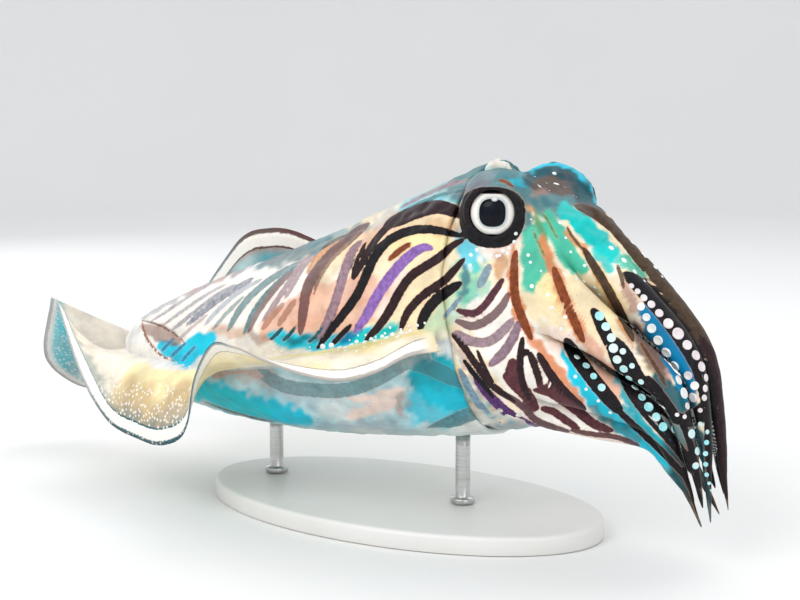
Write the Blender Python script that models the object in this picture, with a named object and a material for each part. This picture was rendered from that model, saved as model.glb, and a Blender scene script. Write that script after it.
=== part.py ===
"""Common cuttlefish, Sepia officinalis, as a life-size still model on a plain display stand.

Frame: X runs forward to the head, Y to the animal's left, Z up, in metres. The origin is the
middle of the underside of the stand's base. The mantle is a sack along a slightly raised axis,
with a socket at its front for the neck. The head is a barrel joined smoothly to two eye domes.
Eight arms leave the head's front face as wedges and part into a drooping, tapering bundle.
"""
import math

import bmesh
import bpy
import numpy as np
from mathutils import Vector
from mathutils.bvhtree import BVHTree

GAP = 0.0003
SECTION_POWER = 2.2

# Mantle: distances along its axis from the tail tip, and sizes of its section
TAIL_X = -0.193
TAIL_Z = 0.088
PITCH = math.radians(10.3)
MANTLE_LENGTH = 0.254
DORSAL_REACH = 0.014
VENTRAL_SHORTENING = 0.006
MANTLE_HALF_DEPTH = 0.0692
MANTLE_HALF_WIDTH = 0.060
DEPTH_GROWTH = 0.48
WIDEST_SHARE = 0.62
NARROWING = 0.05
AXIS_DROP = 0.012
AXIS_SAG = 0.008
LIP_RADIUS = 0.0015
SOCKET_FLOOR = 0.236
MANTLE_COLUMNS = 32
MANTLE_ROWS = 15
ROW_CROWDING = 1.6
LIP_TURNS = (60.0, 120.0, 180.0)

# Fins: the root runs along the mantle's side, the edge through the knots below
FIN_ROOT_ANGLE = math.radians(95.0)
FIN_ROOT_THICKNESS = 0.0042
FIN_EDGE_THICKNESS = 0.0011
FIN_THINNING = 0.7
FIN_CLEARANCE = 0.0005
FIN_OUTWARD_RUN = 0.45
FIN_COLUMNS = 4
FIN_CROWDING = 0.9

# Lengths of a fin: name, root distances of its two ends and rows of points
FIN_PARTS = (
    ("front", 0.252, 0.166, 13),
    ("middle", 0.166, 0.106, 13),
    ("rear", 0.106, 0.046, 15),
    ("tail", 0.046, 0.007, 17),
)

# Edge knots: distance of the root from the tail tip, then the edge's place
RIGHT_FIN_EDGE = (
    (0.252, 0.0640, -0.0620, 0.1050),
    (0.238, 0.0480, -0.0690, 0.1015),
    (0.224, 0.0350, -0.0770, 0.0936),
    (0.208, 0.0190, -0.0840, 0.0888),
    (0.188, -0.0010, -0.0885, 0.0903),
    (0.166, -0.0240, -0.0920, 0.0965),
    (0.148, -0.0420, -0.0935, 0.1025),
    (0.132, -0.0570, -0.0940, 0.1010),
    (0.120, -0.0680, -0.0935, 0.0830),
    (0.106, -0.0780, -0.0880, 0.0550),
    (0.086, -0.0990, -0.0820, 0.0412),
    (0.064, -0.1290, -0.0730, 0.0398),
    (0.044, -0.1590, -0.0640, 0.0455),
    (0.026, -0.1900, -0.0520, 0.0672),
    (0.007, -0.2293, -0.0300, 0.1064),
)
LEFT_FIN_EDGE = (
    (0.252, 0.0620, 0.0630, 0.1060),
    (0.210, 0.0200, 0.0780, 0.1060),
    (0.160, -0.0300, 0.0860, 0.1080),
    (0.115, -0.0760, 0.0850, 0.1180),
    (0.085, -0.1020, 0.0720, 0.1380),
    (0.062, -0.1320, 0.0600, 0.1465),
    (0.048, -0.1600, 0.0640, 0.1380),
    (0.038, -0.1850, 0.0700, 0.1150),
    (0.028, -0.2200, 0.0660, 0.0720),
    (0.020, -0.2620, 0.0420, 0.0330),
    (0.013, -0.2850, 0.0140, 0.0560),
    (0.007, -0.2620, -0.0020, 0.1010),
)

# Head: rings from the neck to the front face, as (share, x, z, tilt, half depth, half width, power)
HEAD_RINGS = (
    (0.00, 0.0690, 0.1220, -2.0, 0.0660, 0.0530, 2.2),
    (0.35, 0.0800, 0.1210, 2.0, 0.0640, 0.0490, 2.4),
    (0.70, 0.0905, 0.1190, 7.0, 0.0615, 0.0480, 2.4),
    (1.00, 0.1000, 0.1165, 11.0, 0.0585, 0.0470, 2.3),
)
HEAD_ROWS = 8
DOME_X = 0.0772
DOME_Y = 0.0310
DOME_Z = 0.1715
DOME_RADIUS = 0.0218
DOME_BLEND = 0.010
EYE_RADIUS = 0.0165
EYE_FORWARD = math.radians(17.0)
EYE_RAISE = math.radians(3.0)
EYE_OFFSET = 0.0042
EYE_RINGS = 8
EYE_COLUMNS = 16
LID_OPENING = 0.0114
PAPILLA_Y = -0.0285
PAPILLA_Z = 0.1895
PAPILLA_SINK = 0.003
PAPILLA_RADIUS = 0.0024
PAPILLA_TAPER = 0.45
PAPILLA_LEAN = 1.3
PAPILLAE = ((-0.0050, 0.0022), (-0.0005, 0.0032), (0.0040, 0.0024))
RAY_REACH = 0.12
HALVINGS = 30

# Funnel, in a groove under the head
FUNNEL_X_BACK = 0.052
FUNNEL_X_FRONT = 0.084
FUNNEL_Z = 0.0668
FUNNEL_RADIUS_BACK = 0.0088
FUNNEL_RADIUS_FRONT = 0.0064
FUNNEL_BORE = 0.0042
FUNNEL_BORE_DEPTH = 0.010
GROOVE_CLEARANCE = 0.0006
GROOVE_BEHIND = 0.004
GROOVE_AHEAD = 0.012
SLOT_REACH = 0.018

# Crown: knots of the bundle, as (share, x, z, tilt, half depth, half width, side shift)
CROWN_KNOTS = (
    (0.000, 0.1000, 0.1165, 11.0, 0.0585, 0.0470, 0.0000),
    (0.309, 0.1365, 0.0975, 18.0, 0.0437, 0.0400, 0.0000),
    (0.544, 0.1625, 0.0800, 28.0, 0.0290, 0.0290, 0.0010),
    (0.729, 0.1715, 0.0570, 42.0, 0.0170, 0.0190, 0.0040),
    (0.833, 0.1755, 0.0437, 58.0, 0.0100, 0.0110, 0.0075),
    (1.000, 0.1820, 0.0225, 72.0, 0.0036, 0.0052, 0.0110),
)
ARM_ANGLES = (22.5, 67.5, 112.5, 157.5)
ARM_REACH = (0.99, 0.93, 0.90, 1.00)
ARM_ROLL_LEFT = (80.0, -50.0, -30.0, 10.0)
ARM_ROLL_RIGHT = (100.0, 115.0, 60.0, -10.0)
ARM_SPLIT = 0.42
ARM_SIDES = 12
ARM_ROWS = 8
TIP_ROWS = 10
TIP_CROWDING = 0.85
TIP_END = 0.997
WEDGE_END = 0.36
ROLL_START = 0.08
ROLL_RUN = 0.40
WEDGE_INNER = 0.30
WEDGE_POWER = 4.0
WEDGE_CLEARANCE = 0.0005
TAPER_POWER = 7
TANGENT_SHARE = 0.252
RADIAL_SHARE = 0.245

# Suckers, in two rows on each arm's inner face: first share, last share and pairs for each length
SUCKER_RUNS = {"base": (0.33, 0.385, 2), "tip": (0.45, 0.90, 5)}
SUCKER_TURN = 0.45
SUCKER_SIZE = 0.36
SUCKER_RISE = 0.45
SUCKER_SINK = 0.60
SUCKER_SIDES = 6
SUCKER_SPREAD = 0.12
SUCKER_FOOT = 0.8
SUCKER_HOLLOW = 0.6

# Stand
BASE_LENGTH = 0.240
BASE_WIDTH = 0.130
BASE_HEIGHT = 0.010
BASE_BEVEL = 0.0025
BASE_SIDES = 40
ROD_RADIUS = 0.0040
ROD_SIDES = 16
ROD_PLACES = (("stand_rod_rear", -0.085), ("stand_rod_front", 0.040))

# Finishes: colour, roughness and metallic value
FINISHES = {
    "mantle": ((0.62, 0.50, 0.40), 0.45, 0.0),
    "fin": ((0.80, 0.72, 0.52), 0.40, 0.0),
    "head": ((0.16, 0.30, 0.30), 0.42, 0.0),
    "eye": ((0.85, 0.87, 0.86), 0.10, 0.0),
    "funnel": ((0.55, 0.66, 0.64), 0.42, 0.0),
    "arm": ((0.72, 0.52, 0.34), 0.42, 0.0),
    "stand": ((0.86, 0.85, 0.82), 0.50, 0.0),
    "rod": ((0.62, 0.62, 0.62), 0.30, 1.0),
}


def smooth_step(x):
    """Ease from 0 to 1 with level ends."""
    x = np.clip(x, 0.0, 1.0)
    return x * x * (3.0 - 2.0 * x)


def through(knots, x):
    """Values of a smooth curve through the knots' rows, by cubic pieces with mean slopes."""
    table = np.asarray(knots, float)
    if table[0, 0] > table[-1, 0]:
        table = table[::-1]
    place, value = table[:, 0], table[:, 1:]
    slope = np.gradient(value, place, axis=0)
    x = np.clip(np.asarray(x, float), place[0], place[-1])
    index = np.clip(np.searchsorted(place, x, side="right") - 1, 0, len(place) - 2)
    width = place[index + 1] - place[index]
    t = ((x - place[index]) / width)[..., None]
    width = width[..., None]
    start = (2 * t ** 3 - 3 * t ** 2 + 1) * value[index] + (t ** 3 - 2 * t ** 2 + t) * width * slope[index]
    end = (3 * t ** 2 - 2 * t ** 3) * value[index + 1] + (t ** 3 - t ** 2) * width * slope[index + 1]
    return start + end


def signed_power(value, power):
    return np.sign(value) * np.abs(value) ** power


def mantle_point(s, angle, inset=0.0):
    """A point of the mantle's section at distance s from the tail, turned from the back to the left."""
    s = np.maximum(np.asarray(s, float), 1e-6)
    share = s / MANTLE_LENGTH
    depth = MANTLE_HALF_DEPTH * share ** DEPTH_GROWTH - inset
    rise = np.clip(share / WIDEST_SHARE, 0.0, 1.0)
    width = MANTLE_HALF_WIDTH * np.sqrt(1.0 - (1.0 - rise) ** 2)
    width = width * (1.0 - NARROWING * smooth_step((share - WIDEST_SHARE) / (1.0 - WIDEST_SHARE))) - inset
    centre = -AXIS_DROP - AXIS_SAG * np.sin(np.pi * np.minimum(share, 1.1))
    across = centre + depth * signed_power(np.cos(angle), 2.0 / SECTION_POWER)
    side = width * signed_power(np.sin(angle), 2.0 / SECTION_POWER)
    x = TAIL_X + s * math.cos(PITCH) - across * math.sin(PITCH)
    z = TAIL_Z + s * math.sin(PITCH) + across * math.cos(PITCH)
    return np.stack(np.broadcast_arrays(x, side, z), -1)


def rim_distance(angle):
    """How far the mantle's front edge lies from the tail: further on the back, less below."""
    up = np.maximum(np.cos(angle), 0.0)
    down = np.maximum(-np.cos(angle), 0.0)
    return MANTLE_LENGTH + DORSAL_REACH * up ** 2 - VENTRAL_SHORTENING * down ** 2


def material(name, colour, roughness, metallic):
    made = bpy.data.materials.new(name)
    made.use_nodes = True
    shader = made.node_tree.nodes["Principled BSDF"]
    shader.inputs["Base Color"].default_value = (*colour, 1.0)
    shader.inputs["Roughness"].default_value = roughness
    shader.inputs["Metallic"].default_value = metallic
    return made


def add_object(name, points, faces, finish):
    """A named object from points and faces, with its faces turned outwards."""
    mesh = bpy.data.meshes.new(name)
    mesh.from_pydata([tuple(point) for point in points], [], faces)
    work = bmesh.new()
    work.from_mesh(mesh)
    bmesh.ops.triangulate(work, faces=work.faces[:], quad_method="FIXED")
    bmesh.ops.recalc_face_normals(work, faces=work.faces[:])
    if work.calc_volume(signed=True) < 0.0:
        bmesh.ops.reverse_faces(work, faces=work.faces[:])
    work.to_mesh(mesh)
    work.free()
    if finish:
        mesh.materials.append(finish)
    mesh.shade_smooth()
    made = bpy.data.objects.new(name, mesh)
    bpy.context.scene.collection.objects.link(made)
    return made


def loft_faces(rings, columns):
    """Quads between rings of equal size, numbered ring by ring."""
    faces = []
    for row in range(rings - 1):
        for column in range(columns):
            following = (column + 1) % columns
            low, high = row * columns, (row + 1) * columns
            faces.append((low + column, low + following, high + following, high + column))
    return faces


def loft(name, rings, start, end, finish):
    """A closed body from rings of points, each end closed by a fan to the point given for it."""
    rings = np.asarray(rings, float)
    count, columns = rings.shape[0], rings.shape[1]
    points = np.concatenate([rings.reshape(-1, 3), [start, end]])
    faces = loft_faces(count, columns)
    first, last = count * columns, count * columns + 1
    top = (count - 1) * columns
    for column in range(columns):
        following = (column + 1) % columns
        faces.append((first, following, column))
        faces.append((last, top + column, top + following))
    return add_object(name, points, faces, finish)


def build_mantle(finish):
    angle = np.linspace(0.0, 2.0 * np.pi, MANTLE_COLUMNS, endpoint=False)
    rim = rim_distance(angle)
    rings = []
    for row in range(1, MANTLE_ROWS + 1):
        rings.append(mantle_point(rim * (row / MANTLE_ROWS) ** ROW_CROWDING, angle))
    for turn in LIP_TURNS:
        bend = math.radians(turn)
        reach = LIP_RADIUS * math.sin(bend)
        rings.append(mantle_point(rim + reach, angle, LIP_RADIUS * (1.0 - math.cos(bend))))
    for share in (0.5, 1.0):
        rings.append(mantle_point(rim + (SOCKET_FLOOR - rim) * share, angle, 2.0 * LIP_RADIUS))
    tail = mantle_point(0.0, 0.0, 0.0)
    tail[1] = 0.0
    wall = rings[-1]
    floor = wall.mean(axis=0)
    return loft("mantle", rings, tail, floor, finish)


def head_ring(share):
    """One ring of the head: a barrel section joined smoothly to the two eye domes."""
    x, z, tilt, depth, width, power = through(HEAD_RINGS, share)
    angle = np.linspace(0.0, 2.0 * np.pi, MANTLE_COLUMNS, endpoint=False)
    tilt = math.radians(tilt)
    up = np.array([math.sin(tilt), 0.0, math.cos(tilt)])
    side = np.array([0.0, 1.0, 0.0])
    centre = np.array([x, 0.0, z])
    base = (depth * signed_power(np.cos(angle), 2.0 / power))[:, None] * up
    base = base + (width * signed_power(np.sin(angle), 2.0 / power))[:, None] * side
    reach = np.linalg.norm(base, axis=1)
    way = base / reach[:, None]
    low, high = np.zeros(MANTLE_COLUMNS), np.full(MANTLE_COLUMNS, RAY_REACH)
    for _ in range(HALVINGS):
        middle = 0.5 * (low + high)
        inside = head_distance(centre + way * middle[:, None], middle - reach) < 0.0
        low = np.where(inside, middle, low)
        high = np.where(inside, high, middle)
    return centre + way * low[:, None]


def smooth_union(first, second):
    share = np.clip(0.5 + 0.5 * (second - first) / DOME_BLEND, 0.0, 1.0)
    return second + (first - second) * share - DOME_BLEND * share * (1.0 - share)


def head_distance(points, barrel):
    """Distance outside the head: the barrel's own, joined smoothly to each eye dome's."""
    result = barrel
    for side in (-1.0, 1.0):
        dome = np.linalg.norm(points - [DOME_X, side * DOME_Y, DOME_Z], axis=1) - DOME_RADIUS
        result = smooth_union(result, dome)
    return result


def eye_axis(side):
    level = math.cos(EYE_RAISE)
    return Vector((math.sin(EYE_FORWARD) * level, side * math.cos(EYE_FORWARD) * level, math.sin(EYE_RAISE)))


def eye_centre(side):
    return Vector((DOME_X, side * DOME_Y, DOME_Z)) + eye_axis(side) * EYE_OFFSET


def ball(name, centre, radius, axis, finish):
    """A sphere with its poles on the axis given."""
    work = bmesh.new()
    bmesh.ops.create_uvsphere(work, u_segments=EYE_COLUMNS, v_segments=EYE_RINGS, radius=radius)
    turn = Vector((0.0, 0.0, 1.0)).rotation_difference(axis).to_matrix()
    bmesh.ops.rotate(work, matrix=turn, verts=work.verts)
    bmesh.ops.translate(work, vec=centre, verts=work.verts)
    mesh = bpy.data.meshes.new(name)
    work.to_mesh(mesh)
    work.free()
    if finish:
        mesh.materials.append(finish)
    mesh.shade_smooth()
    made = bpy.data.objects.new(name, mesh)
    bpy.context.scene.collection.objects.link(made)
    return made


def rod_between(name, start, end, radius, sides, finish, end_radius=None):
    """A straight round rod, or a cone where the end radius differs."""
    start, end = Vector(start), Vector(end)
    axis = end - start
    work = bmesh.new()
    bmesh.ops.create_cone(
        work, cap_ends=True, segments=sides, radius1=radius,
        radius2=radius if end_radius is None else end_radius, depth=axis.length)
    turn = Vector((0.0, 0.0, 1.0)).rotation_difference(axis).to_matrix()
    bmesh.ops.rotate(work, matrix=turn, verts=work.verts)
    bmesh.ops.translate(work, vec=(start + end) / 2.0, verts=work.verts)
    mesh = bpy.data.meshes.new(name)
    work.to_mesh(mesh)
    work.free()
    if finish:
        mesh.materials.append(finish)
    made = bpy.data.objects.new(name, mesh)
    bpy.context.scene.collection.objects.link(made)
    return made


def cut(target, cutter):
    """Take the cutter's shape out of the target and remove the cutter."""
    change = target.modifiers.new("cut", "BOOLEAN")
    change.operation = "DIFFERENCE"
    change.object = cutter
    change.solver = "EXACT"
    apply_modifiers(target)
    bpy.data.objects.remove(cutter)


def apply_modifiers(target):
    bpy.context.view_layer.update()
    evaluated = target.evaluated_get(bpy.context.evaluated_depsgraph_get())
    mesh = bpy.data.meshes.new_from_object(evaluated)
    target.modifiers.clear()
    target.data = mesh


def build_head(finish):
    angle = np.linspace(0.0, 2.0 * np.pi, MANTLE_COLUMNS, endpoint=False)
    rim = rim_distance(angle)
    neck_inset = 2.0 * LIP_RADIUS + GAP
    rings = [mantle_point(SOCKET_FLOOR + GAP, angle, neck_inset)]
    rings.append(mantle_point(rim + LIP_RADIUS + GAP, angle, neck_inset))
    for row in range(HEAD_ROWS + 1):
        rings.append(head_ring(row / HEAD_ROWS))
    back = rings[0].mean(axis=0)
    front = rings[-1].mean(axis=0)
    head = loft("head", rings, back, front, finish)
    for side in (-1.0, 1.0):
        centre, axis = eye_centre(side), eye_axis(side)
        cut(head, ball("socket", centre, EYE_RADIUS + GAP, axis, None))
        cut(head, rod_between("lid_opening", centre, centre + axis * 2.0 * EYE_RADIUS, LID_OPENING, 20, None))
    groove = rod_between(
        "funnel_groove", (FUNNEL_X_BACK - GROOVE_BEHIND, 0.0, FUNNEL_Z),
        (FUNNEL_X_FRONT + GROOVE_AHEAD, 0.0, FUNNEL_Z),
        FUNNEL_RADIUS_BACK + GROOVE_CLEARANCE, 20, None, FUNNEL_RADIUS_FRONT + GROOVE_CLEARANCE)
    cut(head, groove)
    cut(head, funnel_slot())
    papillae = []
    for forward, height in PAPILLAE:
        root = (DOME_X + forward, PAPILLA_Y, PAPILLA_Z)
        tip = (DOME_X + forward * PAPILLA_LEAN, PAPILLA_Y, PAPILLA_Z + PAPILLA_SINK + height)
        end_radius = PAPILLA_RADIUS * PAPILLA_TAPER
        papillae.append(rod_between("papilla", root, tip, PAPILLA_RADIUS, 7, None, end_radius))
    fuse(head, papillae)


def funnel_slot():
    """A block that opens the funnel's groove downwards."""
    half_width = FUNNEL_RADIUS_BACK + GROOVE_CLEARANCE
    start, end = FUNNEL_X_BACK - GROOVE_BEHIND, FUNNEL_X_FRONT + GROOVE_AHEAD
    low = FUNNEL_Z - SLOT_REACH
    ring = [(start, -half_width), (end, -half_width), (end, half_width), (start, half_width)]
    rings = [[(x, y, z) for x, y in ring] for z in (low, FUNNEL_Z)]
    middle = (start + end) / 2.0
    return loft("funnel_slot", rings, (middle, 0.0, low), (middle, 0.0, FUNNEL_Z), None)


def build_funnel(finish):
    funnel = rod_between(
        "funnel", (FUNNEL_X_BACK + 0.001, 0.0, FUNNEL_Z), (FUNNEL_X_FRONT, 0.0, FUNNEL_Z),
        FUNNEL_RADIUS_BACK, 20, finish, FUNNEL_RADIUS_FRONT)
    bore = rod_between(
        "bore", (FUNNEL_X_FRONT - FUNNEL_BORE_DEPTH, 0.0, FUNNEL_Z), (FUNNEL_X_FRONT + 0.01, 0.0, FUNNEL_Z),
        FUNNEL_BORE, 14, None)
    cut(funnel, bore)


def crown_frame(v):
    """Centre, dorsal direction and sizes of the arm bundle at share v of its length."""
    x, z, tilt, depth, width, shift = np.moveaxis(through(CROWN_KNOTS, v), -1, 0)
    tilt = np.radians(tilt)
    centre = np.stack([x, np.zeros_like(x), z], -1)
    up = np.stack([np.sin(tilt), np.zeros_like(x), np.cos(tilt)], -1)
    return centre, up, depth, width, shift


def arm_loop(side, number, v, turn):
    """Points of one arm's section at share v of its own length; turn 0 faces out, 180 degrees in.

    Near the head the section is a wedge of the bundle; further on it is a rounded section of its
    own, rolled about the arm's middle line.
    """
    v = np.asarray(v, float)
    centre, up, depth, width, shift = crown_frame(v * ARM_REACH[number])
    lateral = np.array([0.0, 1.0, 0.0])
    base = side * math.radians(ARM_ANGLES[number])
    rolls = ARM_ROLL_LEFT if side > 0 else ARM_ROLL_RIGHT
    roll = math.radians(rolls[number]) * smooth_step((v - ROLL_START) / ROLL_RUN)
    spread = np.sqrt(depth * width)
    taper = np.sqrt(np.clip(1.0 - v ** TAPER_POWER, 0.0, 1.0))
    pace = np.hypot(depth * math.sin(base), width * math.cos(base))
    tangent = TANGENT_SHARE * pace * taper
    radial = RADIAL_SHARE * spread * taper
    inner = RADIAL_SHARE * spread
    middle = centre + ((depth - inner) * math.cos(base))[..., None] * up
    middle = middle + ((width - inner) * math.sin(base) + side * shift)[..., None] * lateral
    around = turn + roll
    outward = math.cos(base) * up + math.sin(base) * lateral
    sideways = -math.sin(base) * up + math.cos(base) * lateral
    free = (radial * np.cos(around))[..., None] * outward + (tangent * np.sin(around))[..., None] * sideways
    free = middle + free
    out = signed_power(np.cos(around), 2.0 / WEDGE_POWER)
    along = signed_power(np.sin(around), 2.0 / WEDGE_POWER)
    level = (1.0 + WEDGE_INNER) / 2.0 + out * (1.0 - WEDGE_INNER) / 2.0
    half = math.pi / 8.0 - 0.5 * GAP / (level * spread) - WEDGE_CLEARANCE
    place = base + along * half
    wedge = centre + (level * depth * np.cos(place))[..., None] * up
    wedge = wedge + (level * width * np.sin(place))[..., None] * lateral
    share = smooth_step(v / WEDGE_END)[..., None]
    return wedge * (1.0 - share) + free * share


def arm_name(side, number, part):
    return f"arm_{'left' if side > 0 else 'right'}_{number + 1}_{part}"


def build_arms(finish):
    turn = (np.arange(ARM_SIDES) + 0.5) * 2.0 * np.pi / ARM_SIDES
    base_shares = np.linspace(0.0, ARM_SPLIT, ARM_ROWS)
    tip_shares = ARM_SPLIT + (TIP_END - ARM_SPLIT) * np.linspace(0.0, 1.0, TIP_ROWS) ** TIP_CROWDING
    for side in (-1.0, 1.0):
        for number in range(4):
            for part, shares in (("base", base_shares), ("tip", tip_shares)):
                rings = np.array([arm_loop(side, number, np.full(ARM_SIDES, v), turn) for v in shares])
                up = crown_frame(np.array(shares[0] * ARM_REACH[number]))[1]
                rings[0] = rings[0] + np.array([up[2], 0.0, -up[0]]) * GAP
                start, end = rings[0].mean(axis=0), rings[-1].mean(axis=0)
                arm = loft(arm_name(side, number, part), rings, start, end, finish)
                add_suckers(arm, side, number, SUCKER_RUNS[part])


def sucker(name, place, outward, radius, rise, sink):
    """A low cup: a six-sided drum, wider at its rim, with a hollow at its middle."""
    axis = Vector(outward)
    turn = Vector((0.0, 0.0, 1.0)).rotation_difference(axis).to_matrix()
    angle = np.linspace(0.0, 2.0 * np.pi, SUCKER_SIDES, endpoint=False)
    circle = np.stack([np.cos(angle), np.sin(angle), 0.0 * angle], -1)
    rings = np.stack([circle * radius * SUCKER_FOOT - [0.0, 0.0, sink], circle * radius + [0.0, 0.0, rise]])
    rings = rings @ np.array(turn).T + place
    foot = rings[0].mean(axis=0)
    hollow = rings[1].mean(axis=0) - np.array(axis) * rise * SUCKER_HOLLOW
    return loft(name, rings, foot, hollow, None)


def add_suckers(arm, side, number, run):
    """Fuse two rows of cups to the arm's inner face, smaller towards the tip."""
    first, last, pairs = run
    cups = []
    chance = np.random.default_rng(number + (10 if side > 0 else 20))
    for pair in range(pairs):
        for row, turn in enumerate((-SUCKER_TURN, SUCKER_TURN)):
            v = first + (last - first) * (pair + 0.5 * row) / max(pairs - 0.5, 1.0)
            face = arm_loop(side, number, np.full(3, v), np.pi + np.array([turn, turn + np.pi, 0.0]))
            across = face[0] - face[1]
            half = np.linalg.norm(across) / 2.0
            size = SUCKER_SIZE * half * (1.0 + SUCKER_SPREAD * chance.uniform(-1.0, 1.0))
            cups.append(sucker(
                "cup", face[0], across / (2.0 * half), size, size * SUCKER_RISE, size * SUCKER_SINK))
    fuse(arm, cups)


def fuse(target, pieces):
    """Join closed pieces to the target in one union and remove them."""
    group = bpy.data.collections.new(target.name + "_pieces")
    bpy.context.scene.collection.children.link(group)
    for piece in pieces:
        bpy.context.scene.collection.objects.unlink(piece)
        group.objects.link(piece)
    change = target.modifiers.new("pieces", "BOOLEAN")
    change.operation = "UNION"
    change.operand_type = "COLLECTION"
    change.collection = group
    change.solver = "EXACT"
    apply_modifiers(target)
    keep_largest(target)
    for piece in pieces:
        bpy.data.objects.remove(piece)
    bpy.data.collections.remove(group)


def keep_largest(target):
    """Drop every closed surface of the target but its largest."""
    work = bmesh.new()
    work.from_mesh(target.data)
    waiting = set(work.verts)
    islands = []
    while waiting:
        island, edge_of = set(), [waiting.pop()]
        while edge_of:
            vert = edge_of.pop()
            island.add(vert)
            for edge in vert.link_edges:
                other = edge.other_vert(vert)
                if other in waiting:
                    waiting.discard(other)
                    edge_of.append(other)
        islands.append(island)
    islands.sort(key=len)
    for island in islands[:-1]:
        bmesh.ops.delete(work, geom=list(island), context="VERTS")
    work.to_mesh(target.data)
    work.free()


def fin_point(side, s, v):
    """Middle surface of a fin: leaves the mantle along its own outward way and bends to the edge."""
    knots = LEFT_FIN_EDGE if side > 0 else RIGHT_FIN_EDGE
    edge = through(knots, s)
    root = mantle_point(s, side * FIN_ROOT_ANGLE)
    ahead = mantle_point(s + 0.001, side * FIN_ROOT_ANGLE) - mantle_point(s - 0.001, side * FIN_ROOT_ANGLE)
    above = mantle_point(s, side * (FIN_ROOT_ANGLE - 0.02)) - mantle_point(s, side * (FIN_ROOT_ANGLE + 0.02))
    outward = np.cross(ahead, above) * side
    outward = outward / np.linalg.norm(outward, axis=-1, keepdims=True)
    outward = np.where((outward[..., 1:2] * side) < 0, -outward, outward)
    root = root + outward * FIN_CLEARANCE
    span = np.linalg.norm(edge - root, axis=-1, keepdims=True)
    handle = root + outward * span * FIN_OUTWARD_RUN
    t = np.asarray(v, float)[..., None]
    return root * (1.0 - t) ** 2 + handle * 2.0 * t * (1.0 - t) + edge * t ** 2


def build_fin_part(side, part, high, low, rows, finish):
    s = np.linspace(high - GAP / 2.0, low + GAP / 2.0, rows)
    v = np.linspace(0.0, 1.0, FIN_COLUMNS + 1) ** FIN_CROWDING
    grid_s, grid_v = np.meshgrid(s, v, indexing="ij")
    middle = fin_point(side, grid_s, grid_v)
    along = fin_point(side, grid_s + 0.0005, grid_v) - fin_point(side, grid_s - 0.0005, grid_v)
    across = fin_point(side, grid_s, grid_v + 0.02) - fin_point(side, grid_s, grid_v - 0.02)
    normal = np.cross(along, across)
    normal = normal / np.linalg.norm(normal, axis=-1, keepdims=True)
    thinning = (FIN_EDGE_THICKNESS - FIN_ROOT_THICKNESS) * grid_v ** FIN_THINNING
    half = 0.5 * (FIN_ROOT_THICKNESS + thinning)
    upper = middle + normal * half[..., None]
    lower = middle - normal * half[..., None]
    columns = len(v)
    points = np.concatenate([upper.reshape(-1, 3), lower.reshape(-1, 3)])
    count = rows * columns
    faces = []
    for row in range(rows - 1):
        for column in range(columns - 1):
            corner = row * columns + column
            loop = (corner, corner + 1, corner + columns + 1, corner + columns)
            for face in ((loop[0], loop[1], loop[2]), (loop[0], loop[2], loop[3])):
                faces.append(face)
                faces.append(tuple(index + count for index in reversed(face)))
    # The rim joins the two faces all the way round
    border = [row * columns for row in range(rows)]
    border += [(rows - 1) * columns + column for column in range(1, columns)]
    border += [row * columns + columns - 1 for row in range(rows - 2, -1, -1)]
    border += [column for column in range(columns - 2, 0, -1)]
    for index, point in enumerate(border):
        following = border[(index + 1) % len(border)]
        faces.append((point, following, following + count, point + count))
    add_object(f"fin_{'left' if side > 0 else 'right'}_{part}", points, faces, finish)


def build_fins(finish):
    for side in (-1.0, 1.0):
        for part, high, low, rows in FIN_PARTS:
            build_fin_part(side, part, high, low, rows, finish)


def build_stand(base_finish, rod_finish, mantle):
    work = bmesh.new()
    bmesh.ops.create_cone(work, cap_ends=True, segments=BASE_SIDES, radius1=0.5, radius2=0.5, depth=1.0)
    bmesh.ops.scale(work, vec=(BASE_LENGTH, BASE_WIDTH, BASE_HEIGHT), verts=work.verts)
    bmesh.ops.translate(work, vec=(0.0, 0.0, BASE_HEIGHT / 2.0), verts=work.verts)
    top = [edge for edge in work.edges if all(vert.co.z > BASE_HEIGHT * 0.9 for vert in edge.verts)]
    bmesh.ops.bevel(work, geom=top, offset=BASE_BEVEL, segments=2, affect="EDGES")
    mesh = bpy.data.meshes.new("stand_base")
    work.to_mesh(mesh)
    work.free()
    mesh.materials.append(base_finish)
    base = bpy.data.objects.new("stand_base", mesh)
    bpy.context.scene.collection.objects.link(base)
    points = [vert.co.copy() for vert in mantle.data.vertices]
    belly = BVHTree.FromPolygons(points, [tuple(face.vertices) for face in mantle.data.polygons])
    turn = np.linspace(0.0, 2.0 * np.pi, ROD_SIDES, endpoint=False)
    for name, x in ROD_PLACES:
        circle = np.stack([x + ROD_RADIUS * np.cos(turn), ROD_RADIUS * np.sin(turn), 0.0 * turn], -1)
        foot = circle + [0.0, 0.0, BASE_HEIGHT + GAP]
        top = []
        for point in np.concatenate([circle, [[x, 0.0, 0.0]]]):
            hit = belly.ray_cast(Vector((point[0], point[1], BASE_HEIGHT)), Vector((0.0, 0.0, 1.0)))[0]
            top.append((point[0], point[1], hit.z - GAP))
        loft(name, [foot, top[:-1]], (x, 0.0, BASE_HEIGHT + GAP), top[-1], rod_finish)


def main():
    for leftover in list(bpy.data.objects):
        bpy.data.objects.remove(leftover)
    finish = {}
    for name, (colour, roughness, metallic) in FINISHES.items():
        finish[name] = material(name, colour, roughness, metallic)
    mantle = build_mantle(finish["mantle"])
    build_head(finish["head"])
    build_funnel(finish["funnel"])
    for side, name in ((-1.0, "eye_right"), (1.0, "eye_left")):
        ball(name, eye_centre(side), EYE_RADIUS, eye_axis(side), finish["eye"])
    build_arms(finish["arm"])
    build_fins(finish["fin"])
    build_stand(finish["stand"], finish["rod"], mantle)


main()
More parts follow.
